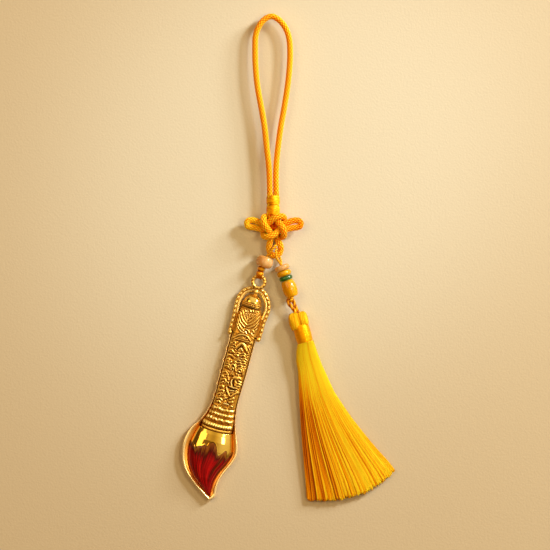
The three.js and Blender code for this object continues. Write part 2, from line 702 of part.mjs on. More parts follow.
const tasselThreadFrame = hangFrame(tasselHang);
const beads = [
  ['disc_pale', discPale, paleStone],
  ['disc_amber', discAmber, amberStone],
  ['disc_green', discGreen, greenStone],
];
let beadFrame = frame(tasselThreadFrame, 0, -tasselHang.leg, 0, beadAngle - tasselHang.angle);
const firstBeadFrame = beadFrame;
let beadRun = 0;
for (const [name, size, look] of beads) {
  piece(beadFrame, name, moved(revolved(beadProfile(size), beadSides), 0, 0, thread.level), look);
  beadFrame = frame(beadFrame, 0, -size.length - clearance, 0, 0);
  beadRun += size.length + clearance;
}

function barrelProfile() {
  const bore = thread.bore / 2;
  const profile = [[bore, 0], [barrel.endDiameter / 2 - barrel.endLip, 0]];
  const arcs = 8;
  for (let i = 0; i <= arcs; i += 1) {
    const angle = (Math.PI * i) / arcs;
    const swell = Math.sin(angle) ** 0.8;
    const radius = (barrel.endDiameter + (barrel.diameter - barrel.endDiameter) * swell) / 2;
    profile.push([radius, -barrel.endLip - ((barrel.length - barrel.endLip * 2) * i) / arcs]);
  }
  profile.push([barrel.endDiameter / 2 - barrel.endLip, -barrel.length], [bore, -barrel.length]);
  return profile;
}
piece(beadFrame, 'bead_barrel', moved(revolved(barrelProfile(), beadSides), 0, 0, thread.level), amberStone);
beadRun += barrel.length;

// The thread's lower end is an upright loop whose foot is a bar, and the tassel's loop lies flat round that bar
const legRise = thread.diameter / 2 + clearance + link.cord / 2;
const barAt = link.reach;

function uprightLoop() {
  const bend = thread.diameter;
  const side = [
    [thread.diameter, thread.stem / 8], [-clearance, legRise * 0.7], [-barAt / 2, legRise],
    [bend / 4 - barAt, legRise - bend / 4],
  ];
  const outline = [...side, [-barAt, 0], ...side.map(([y, z]) => [y, -z]).reverse()];
  const points = outline.map(([y, z]) => new THREE.Vector3(0, y, thread.level + z));
  return tube(points, thread.diameter, thread.sides, thread.step);
}

const linkFrame = frame(beadFrame, 0, -barrel.length, 0, link.angle - beadAngle);
const tasselStem = stem(thread.diameter / 2, beadRun + thread.diameter / 2 + clearance, thread.level);
const tasselThreadParts = [
  threadLegs(tasselHang.leg, thread.level),
  inFrame(tasselStem, firstBeadFrame, tasselThreadFrame),
  inFrame(uprightLoop(), linkFrame, tasselThreadFrame),
];
piece(tasselThreadFrame, 'tassel_thread', joined(tasselThreadParts), goldThread);

const hookFrame = frame(linkFrame, 0, -barAt, 0, link.loopAngle - link.angle);
function tasselLoop() {
  const round = legRise * Math.SQRT1_2;
  const [foot, close] = [-link.loopLength, link.cord / 2 + clearance / 6];
  const side = [
    [close, foot], [close, foot + link.cord], [legRise * 0.9, -legRise * 1.2], [legRise, 0], [round, round],
  ];
  const outline = [...side, [0, legRise], ...side.map(([x, y]) => [-x, y]).reverse()];
  const points = outline.map(([x, y]) => new THREE.Vector3(x, y, thread.level));
  return tube(points, link.cord, thread.sides, thread.step);
}
piece(hookFrame, 'tassel_loop', tasselLoop(), yellowSilk);

// The tassel: a folded head of two lobes, a satin band and the fanned skirt
const tasselFrame = frame(hookFrame, 0, -link.loopLength, 0, skirt.angle - link.loopAngle);

function tasselHead() {
  const lobeWidth = head.width * head.lobeShare;
  const lobes = [-1, 1].map((side) => {
    const lobe = new THREE.SphereGeometry(1 / 2, 14, 10);
    lobe.scale(lobeWidth, head.lobeLength, head.thickness);
    return moved(lobe, (side * (head.width - lobeWidth)) / 2, -head.lobeLength / 2 - head.topClear, 0);
  });
  const core = skin([0.8, 0.9, 1].map((share) => {
    const place = (x, z) => new THREE.Vector3(x, -head.length * share, z);
    return ovalRing(band.width - clearance, band.thickness - clearance, band.sides, place);
  }));
  const whole = joined([...lobes, core]);
  const below = new THREE.BoxGeometry(head.width * 2, head.lobeLength, head.thickness * 2);
  return geometryOf(solid(whole).subtract(solid(moved(below, 0, -head.length - head.lobeLength / 2, 0))));
}
const tasselLevel = Math.max(head.thickness, band.thickness) / 2;
piece(tasselFrame, 'tassel_head', moved(tasselHead(), 0, 0, tasselLevel), yellowSilk);

function tasselBand() {
  const rings = [];
  for (let r = 0; r < band.rings; r += 1) {
    const share = r / (band.rings - 1);
    const swell = band.barrel * (Math.sin(Math.PI * share) - 1);
    const down = head.length + clearance + band.length * share;
    const place = (x, z) => new THREE.Vector3(x, -down, z);
    rings.push(ovalRing(band.width + swell, band.thickness + swell, band.sides, place));
  }
  return skin(rings);
}
piece(tasselFrame, 'tassel_band', moved(tasselBand(), 0, 0, tasselLevel), yellowSilk);

function skirtRight(share) {
  const next = Math.max(skirtRightShares.findIndex(([at]) => at >= share), 1);
  const [a, b] = [skirtRightShares[next - 1], skirtRightShares[next]];
  const t = (share - a[0]) / (b[0] - a[0]);
  return skirt.topHalf + (skirt.right - skirt.topHalf) * THREE.MathUtils.lerp(a[1], b[1], t);
}

function tasselSkirt() {
  const top = head.length + band.length + clearance * 2;
  const rings = [];
  for (let r = 0; r < skirt.rings; r += 1) {
    const share = r / (skirt.rings - 1);
    const leftBow = skirt.leftBow * Math.sin(Math.PI * share);
    const left = -skirt.topHalf - (skirt.left - skirt.topHalf) * share - leftBow;
    const right = skirtRight(share);
    const thickness = THREE.MathUtils.lerp(skirt.topThickness, skirt.endThickness, share ** 0.6);
    const middle = THREE.MathUtils.lerp(tasselLevel, skirt.endThickness / 2, Math.min(share * 2.5, 1));
    const level = Math.max(middle, thickness / 2);
    const ring = [];
    for (let i = 0; i < skirt.sides; i += 1) {
      const angle = (2 * Math.PI * i) / skirt.sides;
      const upper = Math.sin(angle) > 0;
      const across = Math.cos(angle);
      const groove = share ** 0.5 * (1 + Math.cos(skirt.flutes * angle * 2));
      const flute = upper ? 1 - skirt.fluteDepthShare * groove : 1;
      const x = (left + right) / 2 + ((right - left) / 2) * across;
      const bow = across < 0 ? skirt.bottomBowLeft : skirt.bottomBowRight;
      const down = top + skirt.length * share - bow * share ** 4 * across * across;
      ring.push(new THREE.Vector3(x, -down, level + (thickness / 2) * Math.sin(angle) * flute));
    }
    rings.push(ring);
  }
  return skin(rings);
}
piece(tasselFrame, 'tassel_skirt', tasselSkirt(), yellowSilk);

export default charm;
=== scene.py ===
import math
import bpy
import numpy as np
from mathutils import Matrix


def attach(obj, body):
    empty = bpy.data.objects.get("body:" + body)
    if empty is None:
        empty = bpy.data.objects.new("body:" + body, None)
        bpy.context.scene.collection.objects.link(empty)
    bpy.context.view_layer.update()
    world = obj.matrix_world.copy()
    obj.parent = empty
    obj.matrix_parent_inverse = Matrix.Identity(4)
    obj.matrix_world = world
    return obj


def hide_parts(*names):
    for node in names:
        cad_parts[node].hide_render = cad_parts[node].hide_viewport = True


# A pen charm: knotted cord, beads, a gilt brush pendant with an enamel tip, and a silk tassel.
# Lengths are in millimetres until a mesh is made. PX is the size of one pixel of the photograph.

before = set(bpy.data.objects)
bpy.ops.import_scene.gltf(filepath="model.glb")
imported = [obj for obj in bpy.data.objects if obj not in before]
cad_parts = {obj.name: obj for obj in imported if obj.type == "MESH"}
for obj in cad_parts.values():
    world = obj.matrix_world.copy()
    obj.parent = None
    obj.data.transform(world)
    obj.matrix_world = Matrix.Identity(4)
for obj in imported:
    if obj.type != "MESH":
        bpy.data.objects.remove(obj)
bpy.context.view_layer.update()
MM = 0.001
PX = 0.42
TAU = 2 * math.pi


# Camera: straight down, as the photograph was taken

VIEW = 550 * PX * MM
VIEW_MIDDLE = (-5.95, 30.5)
CAMERA_HEIGHT = 1.5
SENSOR = 36
camera_data = bpy.data.cameras.new("camera")
camera_data.sensor_fit = "HORIZONTAL"
camera_data.sensor_width = SENSOR
camera_data.lens = SENSOR * CAMERA_HEIGHT / VIEW
camera = bpy.data.objects.new("camera", camera_data)
camera.location = (VIEW_MIDDLE[0] * MM, VIEW_MIDDLE[1] * MM, CAMERA_HEIGHT)
bpy.context.scene.collection.objects.link(camera)
bpy.context.scene.camera = camera


# Numbers and lines

def smooth(x):
    return x * x * (3 - 2 * x)


def unit(x):
    return np.clip(x, 0, 1)


def bell(x, middle, width):
    return np.exp(-((x - middle) / width) ** 2)


def crest_of(turn):
    """The round back of a strand, from the share of the way across it."""
    return np.sqrt(unit(1 - (2 * turn - 1) ** 2))


def angles(n):
    """n angles round a circle, as a row."""
    return TAU * np.arange(n)[None, :] / n


def points_of(*parts):
    """Points from coordinates of any matching shapes."""
    return np.stack(np.broadcast_arrays(*parts), -1)


def clouds(x, y, seed):
    """Soft noise from 0 to 1 with a cell size of 1."""
    table = np.random.default_rng(seed).random((64, 64))
    x, y = np.broadcast_arrays(np.asarray(x, float), np.asarray(y, float))
    i, j = np.floor(x).astype(int), np.floor(y).astype(int)
    u, v = smooth(x - i), smooth(y - j)
    def at(a, b):
        return table[a % 64, b % 64]
    low = at(i, j) * (1 - u) + at(i + 1, j) * u
    high = at(i, j + 1) * (1 - u) + at(i + 1, j + 1) * u
    return low * (1 - v) + high * v


def run_of(line):
    """How far along the line each of its points is."""
    return np.r_[0, np.cumsum(np.linalg.norm(np.diff(line, axis=0), axis=1))]


def length_of(line):
    return float(run_of(line)[-1])


def ways_of(line):
    """The direction of the line at each of its points."""
    way = np.gradient(line, axis=0)
    return way / np.linalg.norm(way, axis=1)[:, None]


def even(line, n):
    """n points at even steps along a line."""
    run = run_of(line)
    at = np.linspace(0, run[-1], n)
    return np.stack([np.interp(at, run, column) for column in line.T], 1)


def along(points, step):
    """A smooth line through the points, with an even step."""
    p = np.array(points, float)
    p = np.vstack([2 * p[0] - p[1], p, 2 * p[-1] - p[-2]])
    out = []
    for a, b, c, d in zip(p, p[1:], p[2:], p[3:]):
        t1 = np.linalg.norm(b - a) ** 0.5
        t2 = t1 + np.linalg.norm(c - b) ** 0.5
        t3 = t2 + np.linalg.norm(d - c) ** 0.5
        t = np.linspace(t1, t2, 24, endpoint=False)[:, None]
        ab = a + (b - a) * t / t1
        bc = b + (c - b) * (t - t1) / (t2 - t1)
        cd = c + (d - c) * (t - t2) / (t3 - t2)
        abc = ab + (bc - ab) * t / t2
        bcd = bc + (cd - bc) * (t - t1) / (t3 - t1)
        out.append(abc + (bcd - abc) * (t - t1) / (t2 - t1))
    line = np.vstack(out + [p[-2]])
    return even(line, max(int(round(length_of(line) / step)), 2) + 1)


def tube(line, radius, sides, form=1.0, start=(0, 0, 1)):
    """Rings round a line. form is a tone, or gives the radius as a share and the tone from the angle and the
    way along."""
    way = ways_of(line)
    side = np.zeros_like(line)
    n = np.array(start, float)
    for i, t in enumerate(way):
        n = n - (n @ t) * t
        n /= np.linalg.norm(n)
        side[i] = n
    other = np.cross(way, side)
    angle = angles(sides)
    share, tone = form(angle, run_of(line)[:, None]) if callable(form) else (1.0, form)
    out = np.cos(angle)[..., None] * side[:, None] + np.sin(angle)[..., None] * other[:, None]
    return line[:, None] + (radius * share + 0 * angle)[..., None] * out, tone


def turned(points, degrees, place=(0, 0)):
    """Points turned about Z and moved to a place."""
    p = np.array(points, float)
    c, s = math.cos(math.radians(degrees)), math.sin(math.radians(degrees))
    out = p.copy()
    out[..., 0] = c * p[..., 0] - s * p[..., 1] + place[0]
    out[..., 1] = s * p[..., 0] + c * p[..., 1] + place[1]
    return out


# Meshes

TOWARDS_LIGHT = np.array([0.86, 0.5, 0])


class Shape:
    """Collects patches of points into one piece."""

    def __init__(self):
        self.points, self.faces, self.tones, self.count = [], [], [], 0

    def patch(self, points, tone=1.0, around=True, caps=True, flip=False):
        """Adds rows of points with their tones. around closes each row, caps the first and the last."""
        rows, cols, _ = points.shape
        tone = np.broadcast_to(np.asarray(tone, float), (rows, cols))
        r = np.arange(rows - 1)[:, None]
        c = np.arange(cols if around else cols - 1)[None, :]
        a, b = r * cols + c, r * cols + (c + 1) % cols
        quads = np.stack([a, b, b + cols, a + cols], -1).reshape(-1, 4) + self.count
        if flip:
            quads = quads[:, ::-1]
        self.faces += quads.tolist()
        self.points.append(points.reshape(-1, 3))
        self.tones.append(tone.reshape(-1))
        total = rows * cols
        if caps:
            for start, last in ((0, False), ((rows - 1) * cols, True)):
                middle = points.reshape(-1, 3)[start:start + cols].mean(0)
                self.points.append(middle[None])
                self.tones.append(np.array([tone.reshape(-1)[start]]))
                hub = self.count + total
                total += 1
                for i in range(cols):
                    p, q = self.count + start + i, self.count + start + (i + 1) % cols
                    face = [p, q, hub] if last != flip else [q, p, hub]
                    self.faces.append(face)
        self.count += total
        return self

    def tube(self, line, radius, sides, form=1.0, start=(0, 0, 1), side_tone=0.0):
        """side_tone is what the tone gains towards the light and loses away from it."""
        rings, tone = tube(line, radius, sides, form, start)
        tone = tone + side_tone * (rings - line[:, None]) @ TOWARDS_LIGHT / radius
        return self.patch(rings, tone)

    def ball(self, middle, radii, tone):
        fall, angle = math.pi * np.linspace(0.01, 0.99, 16)[:, None], angles(28)
        points = points_of(np.sin(fall) * np.cos(angle), np.sin(fall) * np.sin(angle), np.cos(fall))
        return self.patch(np.array(middle) + np.array(radii) * points, tone, flip=True)

    def join(self, other):
        self.points += other.points
        self.tones += other.tones
        self.faces += [[i + self.count for i in face] for face in other.faces]
        self.count += other.count
        return self

    def move(self, degrees, place=(0, 0)):
        self.points = [turned(p, degrees, place) for p in self.points]
        return self

    def placed(self, name, material):
        mesh = bpy.data.meshes.new(name)
        mesh.from_pydata((np.vstack(self.points) * MM).tolist(), [], self.faces)
        mesh.update()
        tone = mesh.attributes.new("tone", "FLOAT", "POINT")
        tone.data.foreach_set("value", np.concatenate(self.tones).astype(np.float32))
        mesh.polygons.foreach_set("use_smooth", np.ones(len(mesh.polygons), bool))
        mesh.materials.append(material)
        obj = bpy.data.objects.new(name, mesh)
        bpy.context.scene.collection.objects.link(obj)
        return obj

    def piece(self, name, material, body, *nodes):
        obj = self.placed(name, material)
        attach(obj, body)
        if nodes:
            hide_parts(*nodes)
        return obj


# Materials

def linear(r, g, b):
    def one(c):
        c /= 255
        return c / 12.92 if c <= 0.04045 else ((c + 0.055) / 1.055) ** 2.4
    return (one(r), one(g), one(b), 1)


def node(tree, kind, operation=None, **values):
    """A new node with the given inputs set."""
    made = tree.nodes.new("ShaderNode" + kind)
    if operation:
        made.operation = operation
    for key, value in values.items():
        made.inputs[key.replace("_", " ")].default_value = value
    return made


def ramp_of(tree, value, stops):
    """A colour ramp with stops of (place, colour), driven by a value. Gives its colour."""
    ramp = node(tree, "ValToRGB")
    elements = ramp.color_ramp.elements
    while len(elements) < len(stops):
        elements.new(0.5)
    for element, (at, _) in zip(elements, stops):
        element.position = at
    for element, (_, colour) in zip(elements, stops):
        element.color = colour
    tree.links.new(value, ramp.inputs["Fac"])
    return ramp.outputs["Color"]


def look(name, stops, roughness=0.5, metallic=0.0, grain=None, rough_stops=None, patches=None, **more):
    """A material whose colour runs along stops of (tone, (r, g, b)). rough_stops is the roughness at tones 0 and 1.
    grain is (cell in mm, height in mm). patches is (cell in mm, share) and lets soft clouds shift the tone."""
    made = bpy.data.materials.new(name)
    made.use_nodes = True
    tree = made.node_tree
    link = tree.links.new
    shader = tree.nodes["Principled BSDF"]
    for key, value in dict(more, Roughness=roughness, Metallic=metallic).items():
        shader.inputs[key.replace("_", " ")].default_value = value
    tone = node(tree, "Attribute")
    tone.attribute_name = "tone"
    place = node(tree, "TexCoord")

    def noise(cell, detail):
        cloud = node(tree, "TexNoise", Scale=1 / (cell * MM), Detail=detail)
        link(place.outputs["Object"], cloud.inputs["Vector"])
        return cloud.outputs["Fac"]

    value = tone.outputs["Fac"]
    if patches:
        cell, share = patches
        lower, shift = node(tree, "Math", "SUBTRACT"), node(tree, "Math", "MULTIPLY_ADD")
        link(value, lower.inputs[0])
        lower.inputs[1].default_value = share / 2
        link(noise(cell, 3), shift.inputs[0])
        shift.inputs[1].default_value = share
        link(lower.outputs[0], shift.inputs[2])
        value = shift.outputs[0]
    link(ramp_of(tree, value, [(at, linear(*colour)) for at, colour in stops]), shader.inputs["Base Color"])
    if rough_stops:
        span = node(tree, "MapRange", To_Min=rough_stops[0], To_Max=rough_stops[1])
        link(value, span.inputs["Value"])
        link(span.outputs["Result"], shader.inputs["Roughness"])
    if grain:
        cell, height = grain
        bump = node(tree, "Bump", Distance=height * MM, Strength=1)
        link(noise(cell, 2), bump.inputs["Height"])
        link(bump.outputs["Normal"], shader.inputs["Normal"])
    return made


CORD = look(
    "braided_cord", [(0, (176, 16, 0)), (0.2, (240, 68, 0)), (0.5, (255, 142, 0)), (1, (255, 236, 56))],
    roughness=0.6, grain=(0.16, 0.02), patches=(2.5, 0.1), Specular_IOR_Level=0.25,
    Subsurface_Weight=0.4, Subsurface_Radius=(0.003, 0.0008, 0.0001), Subsurface_Scale=0.6,
    Specular_Tint=(1, 0.55, 0.05, 1), Sheen_Weight=0.1, Sheen_Roughness=0.4, Sheen_Tint=(1, 0.45, 0.01, 1),
)
SILK = look(
    "yellow_silk", [(0, (140, 46, 0)), (0.3, (212, 98, 0)), (0.6, (250, 168, 0)), (1, (255, 232, 40))],
    roughness=0.36, metallic=0.12, grain=(0.1, 0.015), Specular_IOR_Level=0.5, Specular_Tint=(1, 0.75, 0.1, 1),
    Sheen_Weight=0.45, Sheen_Roughness=0.4, Sheen_Tint=(1, 0.68, 0.01, 1),
)
SATIN = look(
    "satin_band", [(0, (204, 102, 0)), (0.4, (238, 144, 0)), (1, (252, 186, 8))],
    roughness=0.34, metallic=0.4, grain=(0.3, 0.03), Specular_IOR_Level=0.6, Specular_Tint=(1, 0.75, 0.1, 1),
    Sheen_Weight=0.2, Sheen_Tint=(1, 0.6, 0.01, 1),
)
GOLD_THREAD = look(
    "golden_thread", [(0, (90, 34, 0)), (0.4, (184, 92, 0)), (0.7, (236, 156, 0)), (1, (255, 216, 50))],
    roughness=0.3, metallic=0.1, grain=(0.1, 0.01), Specular_Tint=(1, 0.75, 0.2, 1),
)
GILT = look(
    "gilt_relief", [
        (0, (78, 38, 4)), (0.25, (146, 88, 18)), (0.5, (206, 152, 52)), (0.75, (240, 202, 104)),
        (1, (255, 236, 164)),
    ],
    metallic=0.75, rough_stops=(0.46, 0.24), grain=(0.5, 0.01), patches=(1.2, 0.12),
    Specular_Tint=(1, 0.85, 0.5, 1),
)
GILT_BRIGHT = look(
    "gilt_polished", [(0, (120, 70, 14)), (0.5, (236, 180, 60)), (1, (255, 222, 120))],
    metallic=1, rough_stops=(0.16, 0.06), grain=(1.6, 0.004),
)
GILT_RIM = look(
    "gilt_rim", [(0, (138, 58, 4)), (0.35, (206, 112, 20)), (0.65, (236, 184, 88)), (1, (255, 234, 180))],
    metallic=0.6, rough_stops=(0.36, 0.2), grain=(0.7, 0.005), Specular_Tint=(1, 0.85, 0.5, 1),
)
ENAMEL = look(
    "red_enamel", [
        (0, (136, 76, 16)), (0.12, (104, 46, 10)), (0.28, (70, 6, 5)), (0.6, (148, 4, 10)), (0.85, (190, 14, 16)),
        (1, (226, 88, 14)),
    ],
    roughness=0.18, grain=(2.0, 0.012), Coat_Weight=0.3, Coat_Roughness=0.06, Specular_IOR_Level=0.2,
)
PALE = look(
    "pale_stone", [(0, (186, 130, 64)), (0.5, (212, 164, 94)), (1, (246, 212, 158))],
    roughness=0.16, grain=(1.6, 0.01), patches=(2.6, 0.5), Specular_IOR_Level=0.4,
    Subsurface_Weight=0.9, Subsurface_Radius=(0.004, 0.003, 0.002), Subsurface_Scale=1.2,
)
AMBER = look(
    "amber_stone", [(0, (200, 126, 0)), (0.5, (224, 160, 0)), (1, (240, 188, 10))],
    roughness=0.17, grain=(1.6, 0.01), patches=(2.6, 0.35), Specular_IOR_Level=0.35,
    Subsurface_Weight=0.85, Subsurface_Radius=(0.004, 0.003, 0.0005), Subsurface_Scale=1.0,
)
GREEN = look(
    "green_stone", [(0, (14, 56, 12)), (0.5, (38, 100, 30)), (1, (96, 146, 70))],
    roughness=0.18, grain=(1.2, 0.01), patches=(1.8, 0.9), Coat_Weight=0.3, Coat_Roughness=0.08,
    Subsurface_Weight=0.15, Subsurface_Radius=(0.001, 0.002, 0.001), Subsurface_Scale=0.4,
)


# Textures that are part of the form

def braid(cells, run_length):
    """A plain braid: two families of strands, each over and under the other. Its tone is painted shade, dark in the
    gaps between strands and lightest on their crests.
    """
    def form(angle, run):
        turns = cells * angle / TAU
        u, v = turns + run / run_length, turns - run / run_length
        over = (np.floor(u) + np.floor(v)) % 2 == 0
        across, length = np.where(over, u % 1, v % 1), np.where(over, v % 1, u % 1)
        crest = crest_of(across) * (0.62 + 0.38 * np.sin(math.pi * length))
        return 0.78 + 0.24 * crest, unit(1.3 * crest ** 2.5 + 0.02)
    return form


def twisted(strands, turn_length, depth, low=0.25, high=1.0):
    """Strands twisted round each other. low and high are the tones of the hollows and crests: painted shade in the
    hollows, painted light on the crests.
    """
    def form(angle, run):
        lobe = np.abs(np.cos((strands * angle - TAU * strands * run / turn_length) / 2))
        return 1 - depth + depth * lobe, low + (high - low) * lobe
    return form


def wound(width, thickness, down, depth, pitch, swell, sides, seed, lift=0.0, ridge=2.0):
    """Rings of a barrel wound with thread, from down[0] to down[1] along -Y. A low ridge value makes it angular.
    Its tone is painted shade between the turns, lighter on their crests, and uneven at random.
    """
    height = abs(down[1] - down[0])
    share = np.linspace(0, 1, int(height / pitch * 7) + 1)[:, None]
    angle = angles(sides)
    run = height * share
    crest = crest_of((run / pitch + angle / TAU) % 1)
    uneven = clouds(run / pitch * 0.9, 3 * np.cos(angle) + 9, seed) - 0.5
    out = depth * (crest - 1) + swell * (np.sin(math.pi * share) ** 0.5 - 1) + 0.5 * depth * uneven
    c, d = np.cos(angle), np.sin(angle)
    far = (np.abs(c) ** ridge + np.abs(d) ** ridge) ** (-1 / ridge)
    x = c * far * (width / 2 + out)
    z = d * far * (thickness / 2 + out) + lift
    return points_of(x, -down[0] - (down[1] - down[0]) * share, z), 0.15 + 0.65 * crest + 0.5 * uneven


# The knot and the hanging loop

KNOT = (-6.45, 50.75)
KNOT_LEVEL = 4.31
CORD_RADIUS = 1.27
KNOT_RADIUS = 1.33
CORD_STEP = 0.115
PITCH = 2.46
quarter = [
    (1.8, 0.49, -0.2), (1.3, 0.48, -0.26), (0.76, 0.76, -0.64), (0.2, 1.23, -1.08),
    (-0.5, 1.65, -1.24), (-1.25, 1.76, -0.88), (-1.65, 1.65, 0),
]
quarter += [(-y, -x, -z) for x, y, z in reversed(quarter[:-1])]
quarter = np.array(quarter) * PITCH


def ear(turn, reach, half, drop, shift=0.0):
    neck = (PITCH * 1.8 + reach) / 2
    r = half * math.sqrt(0.5)
    side = [(neck, half, drop / 2), (reach - half, half, drop), (reach - half + r, r, drop)]
    outline = [(a, -b, -c) for a, b, c in side] + [(reach, 0, -drop)] + [(a, b, -c) for a, b, c in side[::-1]]
    return turned(outline, turn) + np.array([shift, 0, 0])


ends = [(1.3, 13.9), (1.25, 8.5), (1.3, 6.6), (1.33, 5.6)]
knot_route = np.vstack([
    [(-0.3 - a, b, 0) for a, b in ends], turned(quarter, 90), ear(7, 11.35, 1.45, 0.5), quarter,
    ear(-90, 12.1, 2.4, 1.1, 0.46), turned(quarter, -90), ear(172.5, 11.35, 1.45, 0.5), turned(quarter, 180),
    [(-0.3 + a, b, 0) for a, b in ends[::-1]],
]) + np.array([KNOT[0], KNOT[1], KNOT_LEVEL])
knot_line = along(knot_route, CORD_STEP)
shape = Shape().tube(knot_line, KNOT_RADIUS, 48, braid(7, 1.5))
# Painted light: the knot's tone rises towards its left, so the left ear, in the knot's own shadow, looks lit.
shape.tones[0] = shape.tones[0] - 0.013 * (shape.points[0][:, 0] - KNOT[0] - 2)
for turn in (45, -45):  # the cord that shows deep in the knot's middle
    middle = turned(along([(-1.9, 0, 0), (0, 0, 0.2), (1.9, 0, 0)], CORD_STEP), turn, KNOT)
    middle[:, 2] += KNOT_LEVEL - 1.1
    shape.tube(middle, 0.95, 32, 0.34)
shape.piece("knot_braid", CORD, "hanger", "knot")

WRAP_FOOT = KNOT[1] + 6.13
WRAP = dict(width=5.75, thickness=4.4, depth=0.05, pitch=0.3, swell=0.34, sides=72, ridge=1.45)
WRAP_X = KNOT[0] - 0.3
for name, foot, reach, seed in (("wrap_lower", -1.25, 4.1, 3), ("wrap_upper", 2.95, 3.9, 5)):
    rings, tone = wound(down=(-foot - reach, -foot), seed=seed, lift=KNOT_LEVEL, **WRAP)
    # Painted light and shade: each wrap is lighter on its right side and darker on its left, and darkened at both
    # ends on the left, in the creases.
    share, side = np.linspace(0, 1, len(tone))[:, None], rings[..., 0] / 2.9
    painted_crease_shade = bell(share, 0, 0.07) + bell(share, 1, 0.07)
    tone = tone + 0.16 * side - 0.04 - 0.9 * painted_crease_shade * unit(0.25 - side)
    shape = Shape().patch(rings, tone).move(0, (WRAP_X, WRAP_FOOT))
    shape.piece(name + "_silk", SILK, "hanger", "loop_" + name)

loop_route = [
    (-1.35, 0, 0), (-1.7, 10.3, 0), (-2.6, 18.7, -0.1), (-3.65, 28, -0.2), (-5.05, 36.4, -0.3),
    (-6.55, 44.8, -0.4), (-7.35, 53.2, -0.5), (-7.55, 60.5, -0.6), (-7.3, 66.1, -0.7), (-6.1, 69.7, -0.75),
    (-3.85, 72.7, -0.8), (-0.65, 74.2, -0.8), (2.45, 72.7, -0.8), (5.2, 69.3, -0.75), (6.7, 64.9, -0.7),
    (7.1, 59.6, -0.6), (6.9, 53.2, -0.5), (6.05, 44.8, -0.4), (4.75, 36.4, -0.3), (3.25, 28, -0.2),
    (2, 18.7, -0.1), (1.25, 10.3, 0), (1.25, 0, 0),
]
LOOP_FOOT = WRAP_FOOT + 7.8
loop_line = along(np.array(loop_route) + np.array([WRAP_X, LOOP_FOOT, KNOT_LEVEL]), CORD_STEP)
# Painted light and shade: the loop's tone is lighter on its side towards the lamps and darker away from them.
shape = Shape().tube(loop_line, CORD_RADIUS, 48, braid(6, 1.6), side_tone=0.2)
loop = shape.piece("loop_braid", CORD, "hanger", "hanging_loop")


# Threads that hang in the bight

THREAD = 0.54
THREAD_STEP = 0.12
THREAD_LEVEL = 3.4
BIGHT_HIGH, BIGHT_LOW = 5.7, 1.2


def thread_legs(leg, bulge=0.0):
    """From the bead over the bight, down through its slot and back under it to the bead."""
    level = THREAD_LEVEL
    over = [
        (0, -leg - 0.7, level + 0.1), (0, -leg + 0.2, level + 0.25),
        (bulge * 0.4, -leg * 0.8, (level + BIGHT_HIGH) / 2), (bulge, -leg * 0.45, BIGHT_HIGH - 0.1),
        (bulge * 0.5, -1.1, BIGHT_HIGH), (0, -0.2, BIGHT_HIGH - 0.4),
    ]
    under = [
        (0, -0.2, BIGHT_LOW + 0.35), (0, -1.1, BIGHT_LOW), (-bulge * 0.5, -leg * 0.64, BIGHT_LOW),
        (-bulge * 0.3, -leg * 0.9, (level + BIGHT_LOW) / 2), (0, -leg, level - 0.25), (0, -leg - 0.7, level - 0.1),
    ]
    return along(over + [(0, 0.05, BIGHT_HIGH - 0.95), (0, 0.05, BIGHT_LOW + 0.95)] + under, THREAD_STEP)


def straight(*stops):
    return along([(0, y, THREAD_LEVEL) for y in stops], THREAD_STEP)


PLY = dict(sides=16, form=twisted(2, 1.9, 0.2), start=(1, 0, 0))
STEM = 0.5
PEN_HANG, PEN_LEG, PEN_LEG_ANGLE, PEN_STEM_ANGLE = (-5.585, 43.05), 6.2, -38.5, -20
shape = Shape().tube(thread_legs(PEN_LEG), THREAD, **PLY).move(PEN_LEG_ANGLE, PEN_HANG)
BEAD_TOP = turned([0, -PEN_LEG, 0], PEN_LEG_ANGLE, PEN_HANG)
shape.tube(turned(straight(0.4, -2.4, -5.3), PEN_STEM_ANGLE, BEAD_TOP), STEM, **PLY)
BIND_TOP = turned([0, -4.7, 0], PEN_STEM_ANGLE, BEAD_TOP)
PEN_ANGLE = -15.2
EYE_LEVEL = 3.1
EYE_RADIUS = 2.55


def lobes(down, radius, waist, count):
    """A thread-wound binding with full lobes, along -Y. Its tone is painted light and shade: dark at the waists
    between lobes, lighter on each thread's crest and on the right side.
    """
    rows, angle = np.linspace(0, 1, 96)[:, None], angles(40)
    run = (down[1] - down[0]) * rows
    full = np.abs(np.sin(math.pi * rows * count)) ** 0.5
    crest = crest_of((run / 0.24 + angle / TAU) % 1)
    r = waist + (radius - waist) * full + 0.06 * (crest - 1)
    points = points_of(r * np.cos(angle), -down[0] - run, EYE_LEVEL + r * np.sin(angle))
    return points, 0.72 * full ** 2 + 0.16 * crest - 0.05 + 0.14 * np.cos(angle)


binding = Shape().patch(*lobes((-0.1, 3.9), 1.6, 1.0, 2))
for x in (-0.93, -0.31, 0.31, 0.93):  # the thread's turns through the pendant's eye
    bar = -3.9 - EYE_RADIUS + math.sqrt(EYE_RADIUS ** 2 - x * x)
    r = 1.02
    front = [(x * 0.8, -2.4, 0.75), (x, -3.0, 1.0), (x, bar, r), (x, bar - r * 0.7, r * 0.72)]
    turn = front + [(x, bar - r, 0)] + [(a, b, -c) for a, b, c in front[::-1]]
    line = along([(a, b, c + EYE_LEVEL) for a, b, c in turn], THREAD_STEP)
    binding.tube(line, 0.34, 14, twisted(2, 1.9, 0.2, 0.0, 0.5), (1, 0, 0))
shape.join(binding.move(PEN_ANGLE, BIND_TOP + np.array([-0.45, 0.1, 0])))
shape.piece("pen_thread_ply", GOLD_THREAD, "pen_string", "pen_thread")


# Beads: full rounds of polished stone, a little uneven

BORE = 0.8


